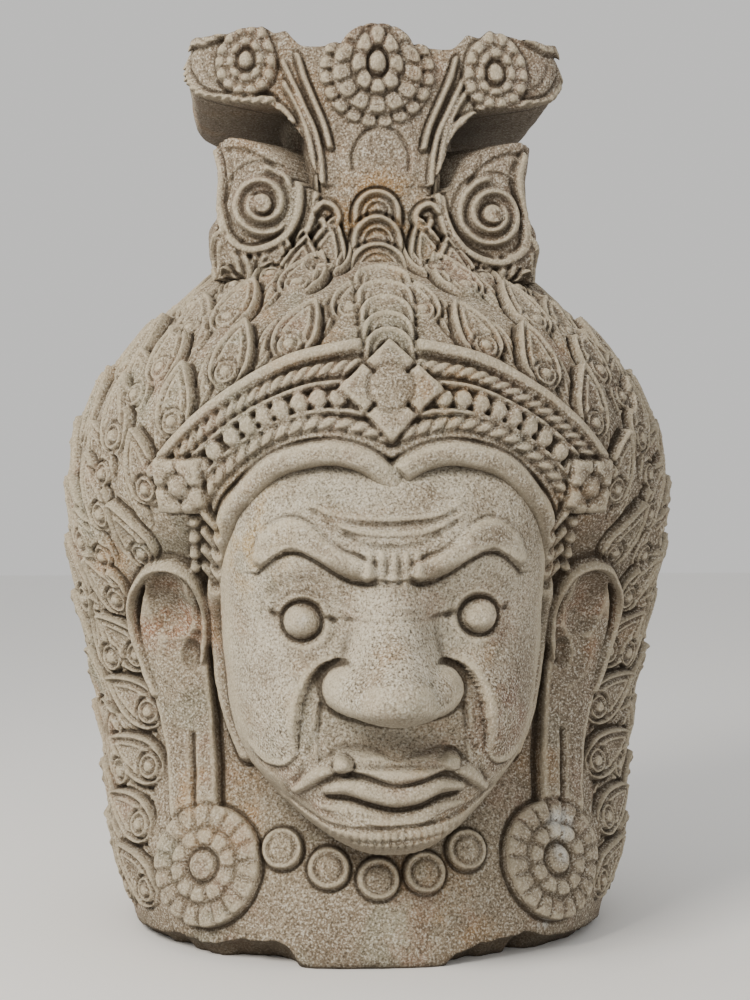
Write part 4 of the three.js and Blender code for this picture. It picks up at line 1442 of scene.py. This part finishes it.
sandstone = weathered_sandstone("weathered_sandstone", 0.5)
bleached_sandstone = weathered_sandstone("bleached_sandstone", 0.85)
for piece in stone_pieces:
    piece.data.materials.append(bleached_sandstone if piece.name == "asura_head_face" else sandstone)
    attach(piece, "root")
    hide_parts("asura_head")
print("sandstone on", [piece.name for piece in stone_pieces])

# %% [markdown]
# ## Floor, light and camera
#
# The photo was taken from about 1.8 m, level with the middle of the head and a few degrees off its
# middle. The light is soft and comes from the upper left, so the left side is lighter.

# %% Floor
bm = bmesh.new()
bmesh.ops.create_grid(bm, x_segments=1, y_segments=1, size=8)
floor_mesh = bpy.data.meshes.new("studio_floor")
bm.to_mesh(floor_mesh)
bm.free()
floor = bpy.data.objects.new("studio_floor", floor_mesh)
bpy.context.scene.collection.objects.link(floor)
pale = bpy.data.materials.new("pale_floor")
pale.use_nodes = True
pale.node_tree.nodes["Principled BSDF"].inputs["Base Color"].default_value = linear("#f4f3f1")
pale.node_tree.nodes["Principled BSDF"].inputs["Roughness"].default_value = 0.8
floor.data.materials.append(pale)

# %% Light
world = bpy.data.worlds.new("studio")
bpy.context.scene.world = world
world.use_nodes = True
world.node_tree.nodes["Background"].inputs["Color"].default_value = linear("#fbfaf8")
world.node_tree.nodes["Background"].inputs["Strength"].default_value = 0.76


def area_light(name, place, aim, size, power, hex_colour):
    light = bpy.data.lights.new(name, "AREA")
    light.size = size
    light.energy = power
    light.color = linear(hex_colour)[:3]
    lamp = bpy.data.objects.new(name, light)
    lamp.location = place
    lamp.rotation_euler = (Vector(aim) - Vector(place)).to_track_quat("-Z", "Y").to_euler()
    bpy.context.scene.collection.objects.link(lamp)


area_light("window", (-1.7, -1.8, 2.2), (0, -0.1, 0.45), 0.9, 88, "#fff8ed")
area_light("fill", (1.9, -1.6, 0.9), (0, 0, 0.45), 1.8, 3, "#f4f1ec")

# %% Camera
CAMERA_AWAY = 1.8
CAMERA_HIGH = 0.4655
CAMERA_TURN = math.radians(-4.5)
LENS = 56.4
camera_data = bpy.data.cameras.new("camera")
camera = bpy.data.objects.new("camera", camera_data)
camera_data.lens = LENS
camera_data.sensor_width = 36
camera_data.shift_x = 0.008
camera_x, camera_y = CAMERA_AWAY * math.sin(CAMERA_TURN), -CAMERA_AWAY * math.cos(CAMERA_TURN)
camera.location = (camera_x, camera_y, CAMERA_HIGH)
camera.rotation_euler = (math.pi / 2, 0, CAMERA_TURN)
bpy.context.scene.collection.objects.link(camera)
bpy.context.scene.camera = camera
